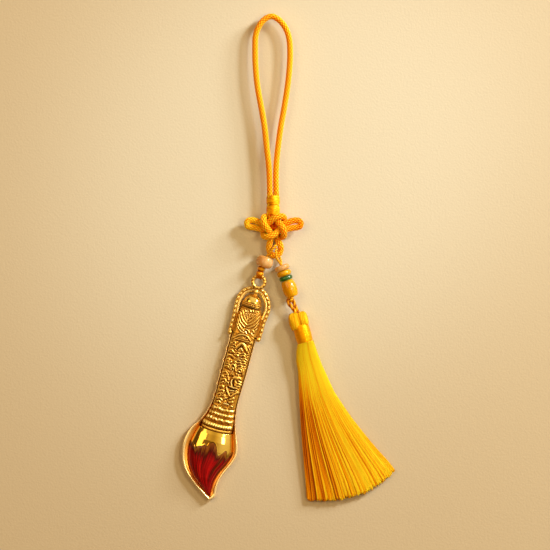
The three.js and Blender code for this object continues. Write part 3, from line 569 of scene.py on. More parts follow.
def bead(diameter, length, end, seed, power, uneven, barrel=False):
    """A bead that hangs down from the origin. end is the radius of its ends."""
    t, angle = np.linspace(0, 1, 41)[:, None], angles(72)
    out = np.sin(math.pi * t) ** power
    r = end + (diameter / 2 - end) * out
    y = -length * (t if barrel else (1 - np.cos(math.pi * t)) / 2)
    if barrel:
        lip = unit(np.minimum(t, 1 - t) / 0.05)
        r = r - 0.35 * (1 - np.sqrt(1 - (1 - lip) ** 2))
    wave = clouds(2 * np.cos(angle) + 8 + t, 2 * np.sin(angle) + 8 + 2 * t, seed) - 0.5
    r = r + uneven * wave * out
    outer = points_of(r * np.cos(angle), y, r * np.sin(angle))
    hole = points_of(BORE * np.cos(angle), -length * (1 - t), BORE * np.sin(angle))[::8]
    rings = np.concatenate([outer, hole, outer[:1]])
    rings[..., 2] = np.maximum(rings[..., 2] + THREAD_LEVEL, 0.02)
    # Painted shade: the bore is darker than the outside, whose tone varies at random.
    tone = np.concatenate([0.5 + 0.5 * wave, 0.3 + 0 * hole[..., 0], 0.5 + 0 * outer[:1, :, 0]])
    return Shape().patch(rings, tone, caps=False)


shape = bead(7.1, 4.7, end=1.3, seed=1, power=0.62, uneven=0.1).move(PEN_STEM_ANGLE, BEAD_TOP)
shape.piece("pale_bead_stone", PALE, "pale_bead", "pen_bead")

TASSEL_HANG, TASSEL_LEG, TASSEL_LEG_ANGLE = (-5.423, 41.58), 7.3, 16
FIRST = turned([0, -TASSEL_LEG, 0], TASSEL_LEG_ANGLE, TASSEL_HANG)
BEAD_ANGLE = 20.4
BARREL_LENGTH = 7.2
down = 0.0
for name, diameter, length, stone, body, seed in (
    ("disc_pale", 6.4, 2.1, PALE, "pale_disc", 11), ("disc_amber", 6.1, 2.1, AMBER, "amber_disc", 12),
    ("disc_green", 5.8, 1.7, GREEN, "green_disc", 13),
):
    place = turned([0, -down, 0], BEAD_ANGLE, FIRST)
    shape = bead(diameter, length + 0.26, end=1.15, seed=seed, power=0.42, uneven=0.06)
    shape.move(BEAD_ANGLE, place).piece(name + "_stone", stone, body, name)
    down += length + 0.3
place = turned([0, -down, 0], BEAD_ANGLE, FIRST)
shape = bead(6.15, BARREL_LENGTH, end=2.3, seed=14, power=0.75, uneven=0.08, barrel=True)
shape.move(BEAD_ANGLE, place).piece("barrel_stone", AMBER, "barrel", "bead_barrel")
BEAD_RUN = down + BARREL_LENGTH
LINK = turned([0, -BEAD_RUN, 0], BEAD_ANGLE, FIRST)

shape = Shape().tube(thread_legs(TASSEL_LEG, -0.95), THREAD, **PLY).move(TASSEL_LEG_ANGLE, TASSEL_HANG)
shape.tube(turned(straight(0.4, -BEAD_RUN / 2, -BEAD_RUN - 0.2), BEAD_ANGLE, FIRST), STEM, **PLY)
HOOK_LENGTH, HOOK_ANGLE = 2.2, -25
hook = [(0, 0.6, 0.15), (0, -0.3, 0.75), (0, -1.1, 1.075), (0, -2.04, 0.92), (0, -HOOK_LENGTH, 0)]
hook += [(a, b, -c) for a, b, c in hook[-2::-1]]
line = along([(a, b, c + THREAD_LEVEL) for a, b, c in hook], THREAD_STEP)
shape.tube(turned(line, HOOK_ANGLE, LINK), 0.56, **PLY)
shape.piece("tassel_thread_ply", GOLD_THREAD, "tassel_string", "tassel_thread")

HOOK = turned([0, -HOOK_LENGTH, 0], HOOK_ANGLE, LINK)
LOOP_LENGTH, LOOP_ANGLE = 5.5, 30
side = [
    (0.5, -LOOP_LENGTH - 1.2), (0.5, -LOOP_LENGTH), (0.52, -LOOP_LENGTH + 1.4), (0.68, -2.5), (0.98, -1.1),
    (1.02, 0.1), (0.74, 0.8),
]
route = [(a, b, THREAD_LEVEL + 0.12 * b) for a, b in side] + [(0, 1.1, THREAD_LEVEL)]
route += [(-a, b, THREAD_LEVEL - 0.05 * b) for a, b in side[::-1]]
shape = Shape().tube(along(route, THREAD_STEP), 0.84, 20, twisted(2, 5.0, 0.2, 0.02, 0.78)).move(LOOP_ANGLE, HOOK)
shape.piece("tassel_loop_ply", GOLD_THREAD, "tassel_link", "tassel_loop")


# The tassel

TASSEL = turned([0, -LOOP_LENGTH, 0], LOOP_ANGLE, HOOK)
TASSEL_ANGLE = 15.5
TASSEL_LEVEL = 3.45
HEAD_LENGTH, BAND_LENGTH = 5.2, 7.2


def strands(shape, lines, radius, tone):
    """Thin three-sided tubes along many lines at once: lines is (count, rows, 3)."""
    way = np.gradient(lines, axis=1)
    way /= np.linalg.norm(way, axis=-1)[..., None]
    over = np.cross(way, [0.001, 0.0, 1.0])
    over /= np.linalg.norm(over, axis=-1)[..., None]
    up = np.cross(over, way)
    sides = 3
    corners = math.pi / 2 + angles(sides)[0]
    rings = np.stack([lines + radius[:, None, None] * (math.cos(q) * over + math.sin(q) * up) for q in corners], 2)
    n, rows = lines.shape[:2]
    first = shape.count + np.arange(n) * rows * sides
    base = (first[:, None] + np.arange(rows - 1)[None, :] * sides)[..., None]
    k, after = np.arange(sides), (np.arange(sides) + 1) % sides
    quads = np.stack([base + k, base + k + sides, base + after + sides, base + after], -1).reshape(-1, 4)
    last = first + (rows - 1) * sides
    shape.faces += quads.tolist()
    shape.faces += np.stack([first, first + 1, first + 2], 1).tolist()
    shape.faces += np.stack([last + 2, last + 1, last], 1).tolist()
    shape.points.append(rings.reshape(-1, 3))
    shape.tones.append(np.repeat(unit(tone).reshape(-1), sides))
    shape.count += n * rows * sides


def lobe_point(t, angle, middle, half, top, length, share):
    """Place on one lobe of the head: t runs down from the top, angle round it."""
    out = np.sin(math.pi * t) ** 0.58 * share
    x = middle * (1 - 0.42 * t) + half * out * np.cos(angle)
    y = -top - length * (1 - np.cos(math.pi * t)) / 2
    return points_of(x, y, TASSEL_LEVEL + 3.0 * out * np.sin(angle))


shape = Shape()
random = np.random.default_rng(23)
for middle, half, top, length, end in ((-1.7, 2.95, -0.3, 9.2, 0.66), (1.7, 2.3, 0.1, 8.2, 0.6)):
    t = np.linspace(0.01, end - 0.03, 26)[:, None]
    # Painted shade: a dark body under the strands fills the gaps between them.
    shape.patch(lobe_point(t, angles(48), middle, half, top, length, 0.93), 0.15)
    count = 230
    angle = TAU * (np.arange(count) + random.uniform(-0.6, 0.6, count)) / count
    ends = end + random.normal(0, 0.012, count)
    t = np.r_[0.03, 0.036, np.linspace(0.07, 0.985, 20), 1][None, :] * ends[:, None]
    wander = 0.5 * (clouds(t * 4, angle[:, None] * 3, 24) - 0.5)
    share = (0.95 + 0.05 * random.uniform(0, 1, count))[:, None] + 0.02 * np.sin(t * 9 + angle[:, None] * 5)
    lines = lobe_point(t, angle[:, None] + 0.5 * t + wander * t, middle, half, top, length, share)
    # Painted light and shade: strands are lighter on the side of each lobe that faces up and to the right, and
    # darker in the cleft between the lobes; the rest varies at random.
    tone = 0.76 + 0.16 * np.cos(angle - 0.6)[:, None] + random.normal(0, 0.24, count)[:, None] + 0 * t
    tone = tone - 0.5 * bell(lines[..., 0], 0.3, 0.45)
    strands(shape, lines, 0.21 * random.uniform(0.8, 1.2, count), tone)
shape.move(TASSEL_ANGLE, TASSEL).piece("tassel_head_silk", SILK, "tassel", "tassel_head")

BAND_SPAN = (HEAD_LENGTH + 0.15, HEAD_LENGTH + BAND_LENGTH + 0.4)
rings, tone = wound(
    7.0, 6.9, BAND_SPAN, depth=0.02, pitch=0.24, swell=0.3, sides=96, seed=31, lift=TASSEL_LEVEL,
)
shape = Shape().patch(rings, tone)
shape.move(TASSEL_ANGLE, TASSEL).piece("tassel_band_satin", SATIN, "tassel", "tassel_band")

SKIRT_TOP, SKIRT_LENGTH = HEAD_LENGTH + BAND_LENGTH + 0.5, 67.1
RIGHT_AT = [0, 0.139, 0.35, 0.552, 0.748, 0.926, 1]
RIGHT_SHARE = [0, 0.03, 0.15, 0.39, 0.67, 0.93, 1]


def skirt_edges(s):
    left = -3.4 - 13.7 * s - 0.9 * np.sin(math.pi * s) - 0.7 * np.sin(math.pi * unit(s * 6))
    right = 3.4 + 18.4 * np.interp(s, RIGHT_AT, RIGHT_SHARE)
    return left, right


def skirt_point(s, across, deep):
    """Place in the skirt: s runs down, across from -1 to 1, deep from -1 under to 1 on top."""
    left, right = skirt_edges(s)
    thick = 6.4 - 3.8 * s ** 0.6
    level = np.maximum(TASSEL_LEVEL + (1.3 - TASSEL_LEVEL) * unit(s * 2.5), thick / 2)
    x = (left + right) / 2 + (right - left) / 2 * across
    bow = np.where(across < 0, 4.0, 5.6)
    y = -SKIRT_TOP - SKIRT_LENGTH * s + bow * s ** 4 * across ** 2
    z = level + thick / 2 * np.sqrt(unit(1 - across ** 2)) * deep
    return points_of(x, y, z)


shape = Shape()
s = np.linspace(0, 0.965, 40)[:, None]
across = np.cos(angles(120)) * 0.93
deep = np.clip(np.sin(angles(120)) * 0.84 / np.sqrt(np.clip(1 - across ** 2, 0.05, 1)), -0.84, 0.84)
# Painted shade: a darker core under the strands fills the gaps between them.
shape.patch(skirt_point(s, across, deep), 0.4)
random = np.random.default_rng(41)
LOCKS = 63  # locks of strands that lean together
for upper, count in ((1, 2300), (-1, 500)):
    a = np.sort(random.uniform(-1, 1, count))
    edges = np.cumsum(random.gamma(1.3, 1.0, LOCKS + 1))
    middles = (edges[:-1] + edges[1:]) / edges[-1] - 1
    lock = np.abs(a[:, None] - middles[None, :]).argmin(1)
    half = (np.diff(edges) / edges[-1])[lock]
    lock_tone, lock_lift = random.normal(0, 0.1, LOCKS)[lock], random.uniform(-0.06, 0.06, LOCKS)[lock]
    layer = random.uniform(0, 1, count)[:, None]
    ragged = random.normal(0, 0.006, count) + random.normal(0, 0.004, LOCKS)[lock]
    s = np.r_[0, 0.004, np.linspace(0.04, 0.97, 16), 0.996, 1][None, :] * (1 + ragged)[:, None]
    pull = random.uniform(0.1, 0.5, count)[:, None] * unit(s) ** 1.3
    wander = clouds(s * 3 + random.uniform(0, 40, count)[:, None], np.arange(count)[:, None] * 1.7, 42) - 0.5
    place = np.clip(a[:, None] + (middles[lock] - a)[:, None] * pull + 0.022 * wander * (0.3 + s), -1, 1)
    depth = upper * (0.92 + 0.09 * layer + (lock_lift[:, None] - 0.08) * unit(s))
    lines = skirt_point(s, place, depth)
    lines[..., 2] = np.maximum(lines[..., 2] + (layer - 0.5) * 0.3 * unit(s) * upper, 0.2)
    # Painted light and shade: strands towards the left (shade), at the edges of each lock (edge) and in the deeper
    # layers are darker, and the thin dark line near a = -0.9 is a painted gap between locks. The streaks and lock
    # tones vary at random.
    low = smooth(unit(s * 2.2 - 0.05))
    shade = unit((0.45 - a) / 1.2)[:, None] * low
    edge = unit(np.abs(a - middles[lock]) / half)[:, None] ** 3
    a = a[:, None]
    streak = 0.8 * clouds(a * 34 + 40, s * 1.3 + 3, 43) + 0.9 * clouds(a * 60 + 100, s * 1.6, 44)
    streak = streak + (1.4 - 1.2 * low) * clouds(a * 9 + 20, s * 2.0, 45) - 1.4 + low - 0.5 * low ** 2
    tone = 0.98 - 0.42 * shade + (lock_tone[:, None] - 0.07) * low + streak * (0.46 + 0.32 * low + 0.35 * shade)
    tone = tone - 0.34 * edge * (0.3 + 0.7 * low) + 0.2 * (layer - 0.6) + random.normal(0, 0.14, count)[:, None]
    tone = np.maximum(tone, 0.5 - 0.33 * shade - 0.16 * low) - 0.5 * bell(a, -0.9, 0.025) * low
    strands(shape, lines, 0.16 * random.uniform(0.7, 1.3, count), tone)
shape.move(TASSEL_ANGLE, TASSEL).piece("tassel_skirt_silk", SILK, "tassel", "tassel_skirt")


# The pendant, in its own frame: X right, D down from the middle of its eye

PEN = (-12.7436, 27.5572)
ROWS = np.array([
    # down, left, right, rim left, rim right
    (23.4, -5.79, 5.3, 0.7, 0.56), (37.75, -5.85, 5.3, 0.7, 0.56), (53.0, -5.92, 5.1, 0.7, 0.56),
    (56.76, -6.7, 5.61, 0.75, 0.6), (59.21, -7.41, 6.02, 0.83, 0.66), (61.33, -8.39, 6.66, 0.9, 0.72),
    (63.0, -9.36, 7.14, 1.13, 0.9), (64.74, -10.53, 7.85, 1.75, 1.4), (66.81, -11.7, 8.67, 2.25, 1.8),
    (68.87, -12.35, 9.49, 2.5, 2.0), (73.14, -13.0, 10.2, 2.5, 2.0), (77.29, -12.45, 8.98, 2.5, 2.0),
    (81.53, -10.99, 6.96, 2.5, 2.0), (85.74, -7.84, 5.81, 2.5, 2.0), (89.87, -2.6, 5.68, 2.5, 2.0),
    (92.02, 0.75, 5.81, 2.5, 2.0),
])
PEN_POINT = (3.79, 93.9)
DOWN, LEFT, RIGHT, LEFT_RIM, RIGHT_RIM = ROWS.T
PLATE = 1.0


def pen_place(x, down, z):
    return points_of(x, -np.asarray(down, float), z)


def finer(column):
    """A column of the rows as a smooth line: depths and values."""
    return along(np.stack([DOWN, column, 0 * column], 1), 0.25).T[:2]


INNER_LEFT, INNER_RIGHT = finer(LEFT + LEFT_RIM), finer(RIGHT - RIGHT_RIM)


def inner_edges(down, inset):
    return np.interp(down, *INNER_LEFT) + inset, np.interp(down, *INNER_RIGHT) - inset


def spread(left, right, u):
    """Places from left to right, closer together near both sides."""
    return (left + right) / 2 + (right - left) / 2 * np.sign(u) * np.abs(u) ** 0.8


def distance(x, y, points):
    """Distance of every grid point to a soft curve through a few points."""
    best = np.full(np.broadcast(x, y).shape, 1e9)
    if len(points) > 2:
        points = along([(a, b, 0) for a, b in points], 0.8)[:, :2]
    for (ax, ay), (bx, by) in zip(points, points[1:]):
        dx, dy = bx - ax, by - ay
        t = unit(((x - ax) * dx + (y - ay) * dy) / (dx * dx + dy * dy))
        best = np.minimum(best, np.hypot(x - ax - t * dx, y - ay - t * dy))
    return best


def lines_of(*rows):
    """Chased lines from rows of numbers: width, height, then x and depth of each point, in pixels."""
    return [(width, rise, list(zip(flat[::2], flat[1::2]))) for width, rise, *flat in rows]


def chased(x, d, ridges, grooves, seed, ground):
    """Height in mm of a chased surface. x and d are in pixels."""
    height = 0.16 * clouds(x * 1.3 + 20, d * 1.3, seed) * ground
    height = height + 0.24 * (clouds(x * 0.5, d * 0.5 + 9, seed + 1) - 0.5) * ground
    for width, rise, points in ridges:
        far = distance(x, d, points) / width
        height = np.maximum(height, 0.68 * rise * np.sqrt(unit(1 - far ** 2)))
    for width, depth, points in grooves:
        far = distance(x, d, points) / width
        height = height - 0.6 * depth * np.exp(-2.2 * far ** 2)
    return height


def blurred(h, n):
    """Mean over a square of 2n + 1 cells."""
    p = np.pad(h, n, mode="edge")
    c = np.cumsum(np.cumsum(np.pad(p, ((1, 0), (1, 0))), 0), 1)
    k = 2 * n + 1
    return (c[k:, k:] - c[:-k, k:] - c[k:, :-k] + c[:-k, :-k]) / (k * k)


def hollow_tone(height, n, span):
    """Painted light and shade: bright on what stands out and dark in the hollows."""
    return unit(0.52 + (height - blurred(height, n)) / span)


def domed(top, tone):
    """A raised form on the plate from rows across it, with a foot that reaches into the plate."""
    under = np.stack([top[:, -1], (top[:, -1] + top[:, 0]) / 2, top[:, 0]], 1)
    under[..., 2] = PLATE - 0.05
    # Painted shade: the foot, down where the form meets the plate, is darker.
    foot_tone = np.full((len(top), 3), 0.3)
    return Shape().patch(np.concatenate([top, under], 1), np.concatenate([tone, foot_tone], 1))


def raised(downs, lefts, rights, full, relief_at, power, bow=0.0, columns=150, foot=0.0, pointed=False):
    """Half-oval sections with a chased surface: relief_at gives height and tone. foot is how high the sides are."""
    u = np.linspace(-1, 1, columns)[None, :]
    rows = (downs, lefts, rights, full, bow)
    downs, lefts, rights, full, bow = (np.broadcast_to(row, len(downs))[:, None] for row in rows)
    x = spread(lefts, rights, u)
    d = downs + bow * (1 - np.abs(u) if pointed else 1 - u ** 2)
    arch = unit(1 - np.abs(u) ** (2 / power)) ** (power / 2)
    chase, tone = relief_at(x / PX, d / PX, u, downs)
    z = PLATE + np.minimum(foot, full) + np.maximum(full - foot, 0) * arch + chase * unit(arch * 1.6)
    return domed(pen_place(x, d, z), tone)


def on_pen(shape, name, material, *nodes):
    shape.move(PEN_ANGLE, PEN).piece(name, material, "pen", *nodes)


# Handle: leaves, scrolls and waves between an arched top and the ferrule
HANDLE_RIDGES = lines_of(
    (1.5, 0.7, -10, 60, -7, 57, -2, 54.8, 3, 55.3, 7, 58, 9.5, 61), (0.9, 0.55, -7, 60.5, -4, 58.2, -1, 57.6),
    (0.8, 0.6, -4.5, 61, -1.5, 59.3, 1, 58), (0.8, 0.6, -1.5, 61.4, 1.5, 59.6, 4, 58.6),
    (0.8, 0.55, 1.5, 61.6, 4, 60.6, 6, 60.2), (0.9, 0.7, -9.5, 62.5, -7.5, 60.6), (1.2, 0.8, 7.6, 61.3, 9.2, 59.6),
    (1.9, 1.0, -4.6, 69, -2.6, 65.6, 0, 63.6, 2.6, 65.2, 6, 69.2), (1.0, 0.8, -1.6, 71, 0, 68.6, 2, 70.6),
    (0.7, 0.6, -0.2, 70.4, 0.2, 73.2), (1.0, 0.7, -10.6, 66, -9, 63.8, -6.8, 64.2, -6.6, 66.2, -8.4, 66.8),
    (0.9, 0.6, -9.8, 69.6, -7.8, 69, -6, 70.2, -4.4, 71.6), (0.8, 0.6, -6, 67.2, -4.8, 68.6),
    (1.1, 0.7, 6.8, 64.6, 8.6, 66.6, 9.6, 69.6), (1.0, 0.7, 7.4, 69.8, 9.4, 72),
    (0.9, 0.65, -11, 73.6, -8.6, 72, -6.4, 73.6, -4, 74.6, -1.8, 73, 0.4, 74.4),
    (0.9, 0.7, 1.8, 73.6, 4.2, 72.2, 6.4, 73.8, 8.8, 72.6), (0.9, 0.6, 2, 76, 4.4, 74.6, 6.8, 76, 9, 75),
    (1.0, 0.7, -10.8, 78.8, -9.6, 77.4, -7.8, 77.6), (1.0, 0.6, -4.6, 76.4, -2, 75.8, -0.4, 76.8),
    (0.9, 0.75, -0.2, 79.2, 2, 77.8, 4.4, 78.6, 6.6, 77.6, 9, 78.6),
    (0.9, 0.7, -1.2, 81.4, 1, 80.2, 3.4, 81, 5.8, 79.8, 8.4, 81),
    (0.9, 0.7, -2.4, 82.4, 0, 83.6, 2.6, 82.6, 5, 83.4, 7.6, 82.2, 9.6, 83.4),
    (1.0, 0.7, -10.8, 82, -9, 81.4, -8.2, 83, -9.6, 84.2, -7.4, 85.2, -5.6, 84),
    (0.9, 0.7, -9.6, 86.8, -7.6, 86.6, -6, 87.8),
    (1.0, 0.85, -5.4, 91, -5.2, 88, -3.4, 85.8, -1.4, 86.6, 0, 89, 1, 91.6),
    (0.8, 0.7, -3.8, 91.8, -3, 89.4, -1.6, 90, -1.8, 92.2), (0.7, 0.7, -1.9, 84, -0.4, 86, 0.8, 87.6),
    (0.8, 0.7, 2, 86, 4.2, 84.8, 6.6, 85.8, 8.8, 85), (0.8, 0.65, 3, 88, 5.4, 87, 7.6, 88.2, 9.6, 87.4),
    (1.0, 0.85, 2, 92, 2.4, 89.8, 4.6, 88.8, 6.8, 90, 6, 92, 4, 91.4), (1.5, 0.9, 8.6, 89.8, 9, 93),
    (1.0, 0.6, -10.6, 89.4, -8.4, 88.8, -7, 90), (0.5, 0.5, -6.4, 93, -5.8, 95), (0.5, 0.5, -4.8, 93.2, -4.2, 95.4),
    (0.5, 0.5, -3.2, 93.4, -2.6, 95.8), (0.5, 0.5, -1.6, 93.6, -1, 96), (0.6, 0.6, 2.4, 94, 3.4, 95.6),
    (0.6, 0.6, 4.4, 94, 5.2, 95.6), (0.9, 0.7, -10.4, 95.4, -8.4, 94.6, -6.8, 96.2, -7.6, 98),
    (1.1, 0.8, -5.6, 97, -4.6, 100, -3.4, 102), (2.4, 1.15, 1.4, 98.6, 4.4, 98.4), (1.2, 0.9, 5.6, 96.8, 8, 98.4),
    (1.1, 0.9, 0, 101, -0.4, 104, 1, 107), (1.3, 1.0, 3.2, 101.6, 4.6, 103.6, 4.2, 106),
    (1.2, 1.0, 6.4, 100.8, 9.4, 101.4), (1.2, 1.05, 6.2, 103.4, 9.8, 103.6), (1.2, 0.95, 5.8, 106.2, 8.6, 105.8),
    (0.9, 0.6, -10.6, 99, -9, 100.6, -7.6, 100), (1.0, 0.7, -10.4, 103.2, -8, 102, -6, 103.6),
    (0.8, 0.7, -6.6, 106.4, -5.4, 104.6, -3.6, 104.4, -2.6, 106), (0.9, 0.7, -10, 106.6, -8.4, 105.4),
    (1.1, 1.0, -0.6, 108, 3, 108.4, 6.6, 108.2), (1.3, 0.95, -3.4, 110.6, -1.4, 113.6, 1, 116.8),
    (1.2, 0.8, 1.2, 112, 3.8, 111.4, 6.4, 110.6), (1.6, 0.95, 3.2, 117.6, 5.6, 114.6, 8.6, 111.8),
    (0.9, 0.7, 1.6, 114.4, 3.8, 113.6), (0.9, 0.65, -10.6, 110, -8.6, 109, -6.8, 110.2),
    (1.0, 0.7, -9.6, 114.6, -7.4, 113.2, -5.2, 114.4, -5.6, 116.6, -7.6, 116.4),
    (0.9, 0.7, -10.4, 118.6, -9, 117, -7.2, 118.8, -8.6, 120.2), (0.9, 0.7, -5.4, 119, -3.6, 118, -2.4, 120),
    (1.0, 0.75, -9.6, 122.6, -7, 121.8, -4.8, 123.2), (0.9, 0.7, -9.4, 125.6, -7.4, 124.6, -5.6, 126.2),
    (1.9, 0.95, 3.4, 120.4, 5.6, 118.8), (1.5, 0.9, 3.2, 123.4, 5.8, 122.4), (1.2, 0.95, -1.6, 126, 2.6, 126),
    (0.8, 0.7, -3.4, 122, -1.4, 120.4), (0.9, 0.7, 5, 126.6, 7.6, 127),
)
HANDLE_GROOVES = lines_of(
    (0.7, 0.55, -9.4, 58.2, -6, 55.2, -2, 53.6, 3, 54, 7, 56.8, 9.2, 59.6),
    (0.7, 0.5, -6.6, 62.2, -2, 61.8, 2, 62, 5, 63.4, 9.4, 66.4),
    (0.8, 0.7, -3.6, 70.8, -1.8, 68, 0, 66, 2.6, 68, 5.4, 70.4), (0.7, 0.4, -10.6, 63.6, -9.6, 64.6),
    (0.9, 0.5, -8, 67.8, -6.6, 68.4), (0.8, 0.6, -11, 75.8, -7, 76, -4, 77.6, -1.6, 78.4),
    (1.7, 0.8, -6.8, 80.2, -5.6, 80.6), (0.8, 0.6, 0.6, 77.2, 3.6, 77), (0.9, 0.6, -2.6, 87.8, -2.2, 88),
    (0.9, 0.6, -2.8, 91, -2.4, 91.4), (0.8, 0.55, -11, 91.6, -7, 92.2), (0.9, 0.55, 4, 92.8, 6.8, 93),
    (0.9, 0.7, -4, 98.2, 0, 97.6), (1.0, 0.8, 1.2, 101.6, 1.8, 104.4, 3.4, 107), (0.7, 0.5, -4.6, 106, -4, 105.6),
    (0.7, 0.5, -2.2, 105.4, -1.6, 105), (0.9, 0.7, -3.2, 108.4, 0.6, 110, 7, 110),
    (1.0, 0.6, -5, 109.6, -3.4, 113.4, -2, 116), (0.9, 0.6, -9.8, 112, -9.2, 112.4),
    (0.7, 0.65, -3.4, 122.8, 2, 119.4, 8.2, 114), (0.6, 0.55, -1, 121.6, 1.4, 124.2, 4.6, 126.2),
    (0.8, 0.5, -7.4, 127.4, -6.8, 127), (0.7, 0.5, 0.2, 119, 1, 118.6), (0.8, 0.5, 8.2, 95.6, 8.8, 96),
    (0.7, 0.5, -8, 118.4, -7.8, 118.8), (0.8, 0.5, 4.6, 110.4, 5.2, 112.4),
)


def handle_surface(x, d, u, downs):
    height = chased(x, d, HANDLE_RIDGES, HANDLE_GROOVES, 51, 0.8)
    bare = unit((x - 7.6) / 0.8) * unit((d - 113 + (x - 8) * 0.5) / 1.5)
    height = height * (1 - bare) - 0.35 * bare
    # Painted light: the handle's left edge is lighter.
    return height, unit(hollow_tone(height, 7, 0.75) - 0.06 + 0.3 * unit((-u - 0.86) / 0.08))


downs = np.linspace(23.4, 53.9, 330)
lefts, rights = inner_edges(downs, 0.12)
bow = 0.85 * unit((downs - 50.9) / 3) - 1.2 * unit(1 - (downs - 23.4) / 4)
handle = raised(downs, lefts, rights, 3.1 * unit(downs - 22.6) ** 0.5, handle_surface, 0.7, bow, foot=1.7)
on_pen(handle, "pen_handle_relief", GILT, "pen_handle")

# Collar: a plain strip, then hanging leaves and nested chevrons that end in scrolls
COLLAR_RIDGES = lines_of(
    (0.9, 0.5, -9.4, 30.4, -7.4, 33, -4.8, 37.4, -1.6, 41), (0.9, 0.5, 8.8, 30.4, 6.8, 33, 3.8, 37.4, 1, 41),
    (0.9, 0.65, -10, 33.4, -7.8, 38, -4.8, 41.4, -0.8, 44.4), (0.9, 0.65, 9.6, 33.4, 7.2, 38, 4, 41.6, 0.6, 44.4),
    (0.9, 0.7, -10.6, 36.6, -8.6, 41.4, -5.4, 44.6, -2, 47), (0.9, 0.7, 10.2, 36.6, 8, 41.4, 4.8, 44.8, 1.8, 47),
    (0.9, 0.7, -10.8, 40.8, -8.8, 45, -5.6, 48.4, -2.4, 50.4), (0.9, 0.7, 10.4, 40.8, 8.4, 45, 5.2, 48.4),
    (0.9, 0.7, -10.6, 45.4, -8, 49, -5, 51.8, -1.4, 53), (0.8, 0.7, 10.4, 45.6, 9.2, 48),
    (0.7, 0.6, -5.6, 30.6, -4.2, 32.2), (0.7, 0.6, -3.6, 30, -2.6, 31.6), (0.7, 0.6, -1.2, 29.2, 0.6, 31),
    (0.7, 0.6, 1.6, 28.8, 3, 30.4), (0.7, 0.6, 4.6, 28.6, 5.4, 30.6), (0.8, 0.6, 6.8, 28.6, 8, 29.4),
    (0.7, 0.7, -2.4, 33, -2, 36.4, -1.2, 39.6), (0.6, 0.6, -4.4, 33.6, -3.2, 36.6),
    (0.7, 0.6, -0.2, 33, -0.2, 38.6), (0.7, 0.6, 2.6, 32.6, 1.2, 36.6), (0.7, 0.6, 4.6, 32.4, 3, 35.8),
    (1.2, 0.8, 7.2, 48.4, 8.6, 49.6), (0.9, 0.7, 0.4, 48.8, 2.6, 49.4, 4.4, 51.4),
    (0.9, 0.7, -0.4, 51.2, 1.6, 52.8), (0.9, 0.7, 6, 51.4, 8.4, 53),
)
COLLAR_GROOVES = lines_of(
    (0.6, 0.5, -6.6, 44.6, -5.8, 45.8), (0.6, 0.5, -4.8, 45.6, -4, 46.8), (0.6, 0.5, -3.4, 47.2, -2.6, 48.2),
    (0.6, 0.5, -4.6, 48.8, -3.8, 49.8), (0.7, 0.5, -1.4, 47, -0.6, 48), (0.8, 0.6, 0.8, 50.4, 2.2, 51.6),
    (0.8, 0.55, 8, 51, 8.2, 51.6), (0.5, 0.4, -3.4, 31.4, -2.6, 33), (0.5, 0.4, -0.6, 31.4, 1, 31.8),
    (0.5, 0.5, -2.6, 34.6, -2.2, 37.6), (0.6, 0.4, -8.6, 47.4, -6.2, 50),
    (0.6, 0.4, -2.6, 43.6, 0, 45.8, 2.4, 43.8),
)


def collar_surface(x, d, u, downs):
    height = chased(x, d, COLLAR_RIDGES, COLLAR_GROOVES, 61, 0.5)
    plain = unit((29.2 - d) / 1.2)
    height = height * (1 - plain) + 0.25 * plain
    return height, hollow_tone(height, 6, 0.7)


downs = np.linspace(11.35, 22.9, 130)
half = np.interp(downs, [11.3, 13, 15, 23], [4.0, 4.4, 5.0, 5.2])
rise = 3.2 * unit((downs - 11.0) / 0.9) ** 0.5
collar = raised(downs, -half, half, rise, collar_surface, 0.75, foot=0.9, pointed=True)
on_pen(collar, "pen_collar_relief", GILT, "pen_collar")


# Cap: a polished dome on a leaf brim
def dome_surface(x, d, u, downs):
    return 0 * x * d, 0.75 + 0 * x * d


def brim_surface(x, d, u, downs):
    share = (d * PX - 8.95) / 2.0
    leaf = np.abs(np.sin(x * 1.15 + 0.9 * np.sin(x * 0.7)))
    ridge = bell(share, 0.32 + 0.12 * leaf, 0.16) + 0.7 * bell(share, 0.75, 0.1)
    height = 0.55 * ridge * (0.75 + 0.25 * leaf) - 0.35 * bell(share, 0.93, 0.06)
    height = height + 0.1 * clouds(x * 1.6, d * 1.6, 71)
    return height, hollow_tone(height, 4, 0.55)


CAP_X = -0.3
DOME_TOP, DOME_RADIUS = 5.35, 3.85
t = math.pi / 2 * np.linspace(0.04, 1, 48)
half = DOME_RADIUS * np.sin(t)
downs = DOME_TOP + DOME_RADIUS * (1 - np.cos(t))
dome = raised(downs, CAP_X - half, CAP_X + half, 4.2 * np.sin(t), dome_surface, 0.95, columns=80)
on_pen(dome, "pen_cap_dome", GILT_BRIGHT)
downs = np.linspace(8.95, 11.1, 40)
half = 4.1 + 0.2 * np.sin(math.pi * np.linspace(0, 1, 40))
brim = raised(downs, CAP_X - half, CAP_X + half, 3.75, brim_surface, 0.9)
on_pen(brim, "pen_cap_brim", GILT, "pen_cap")


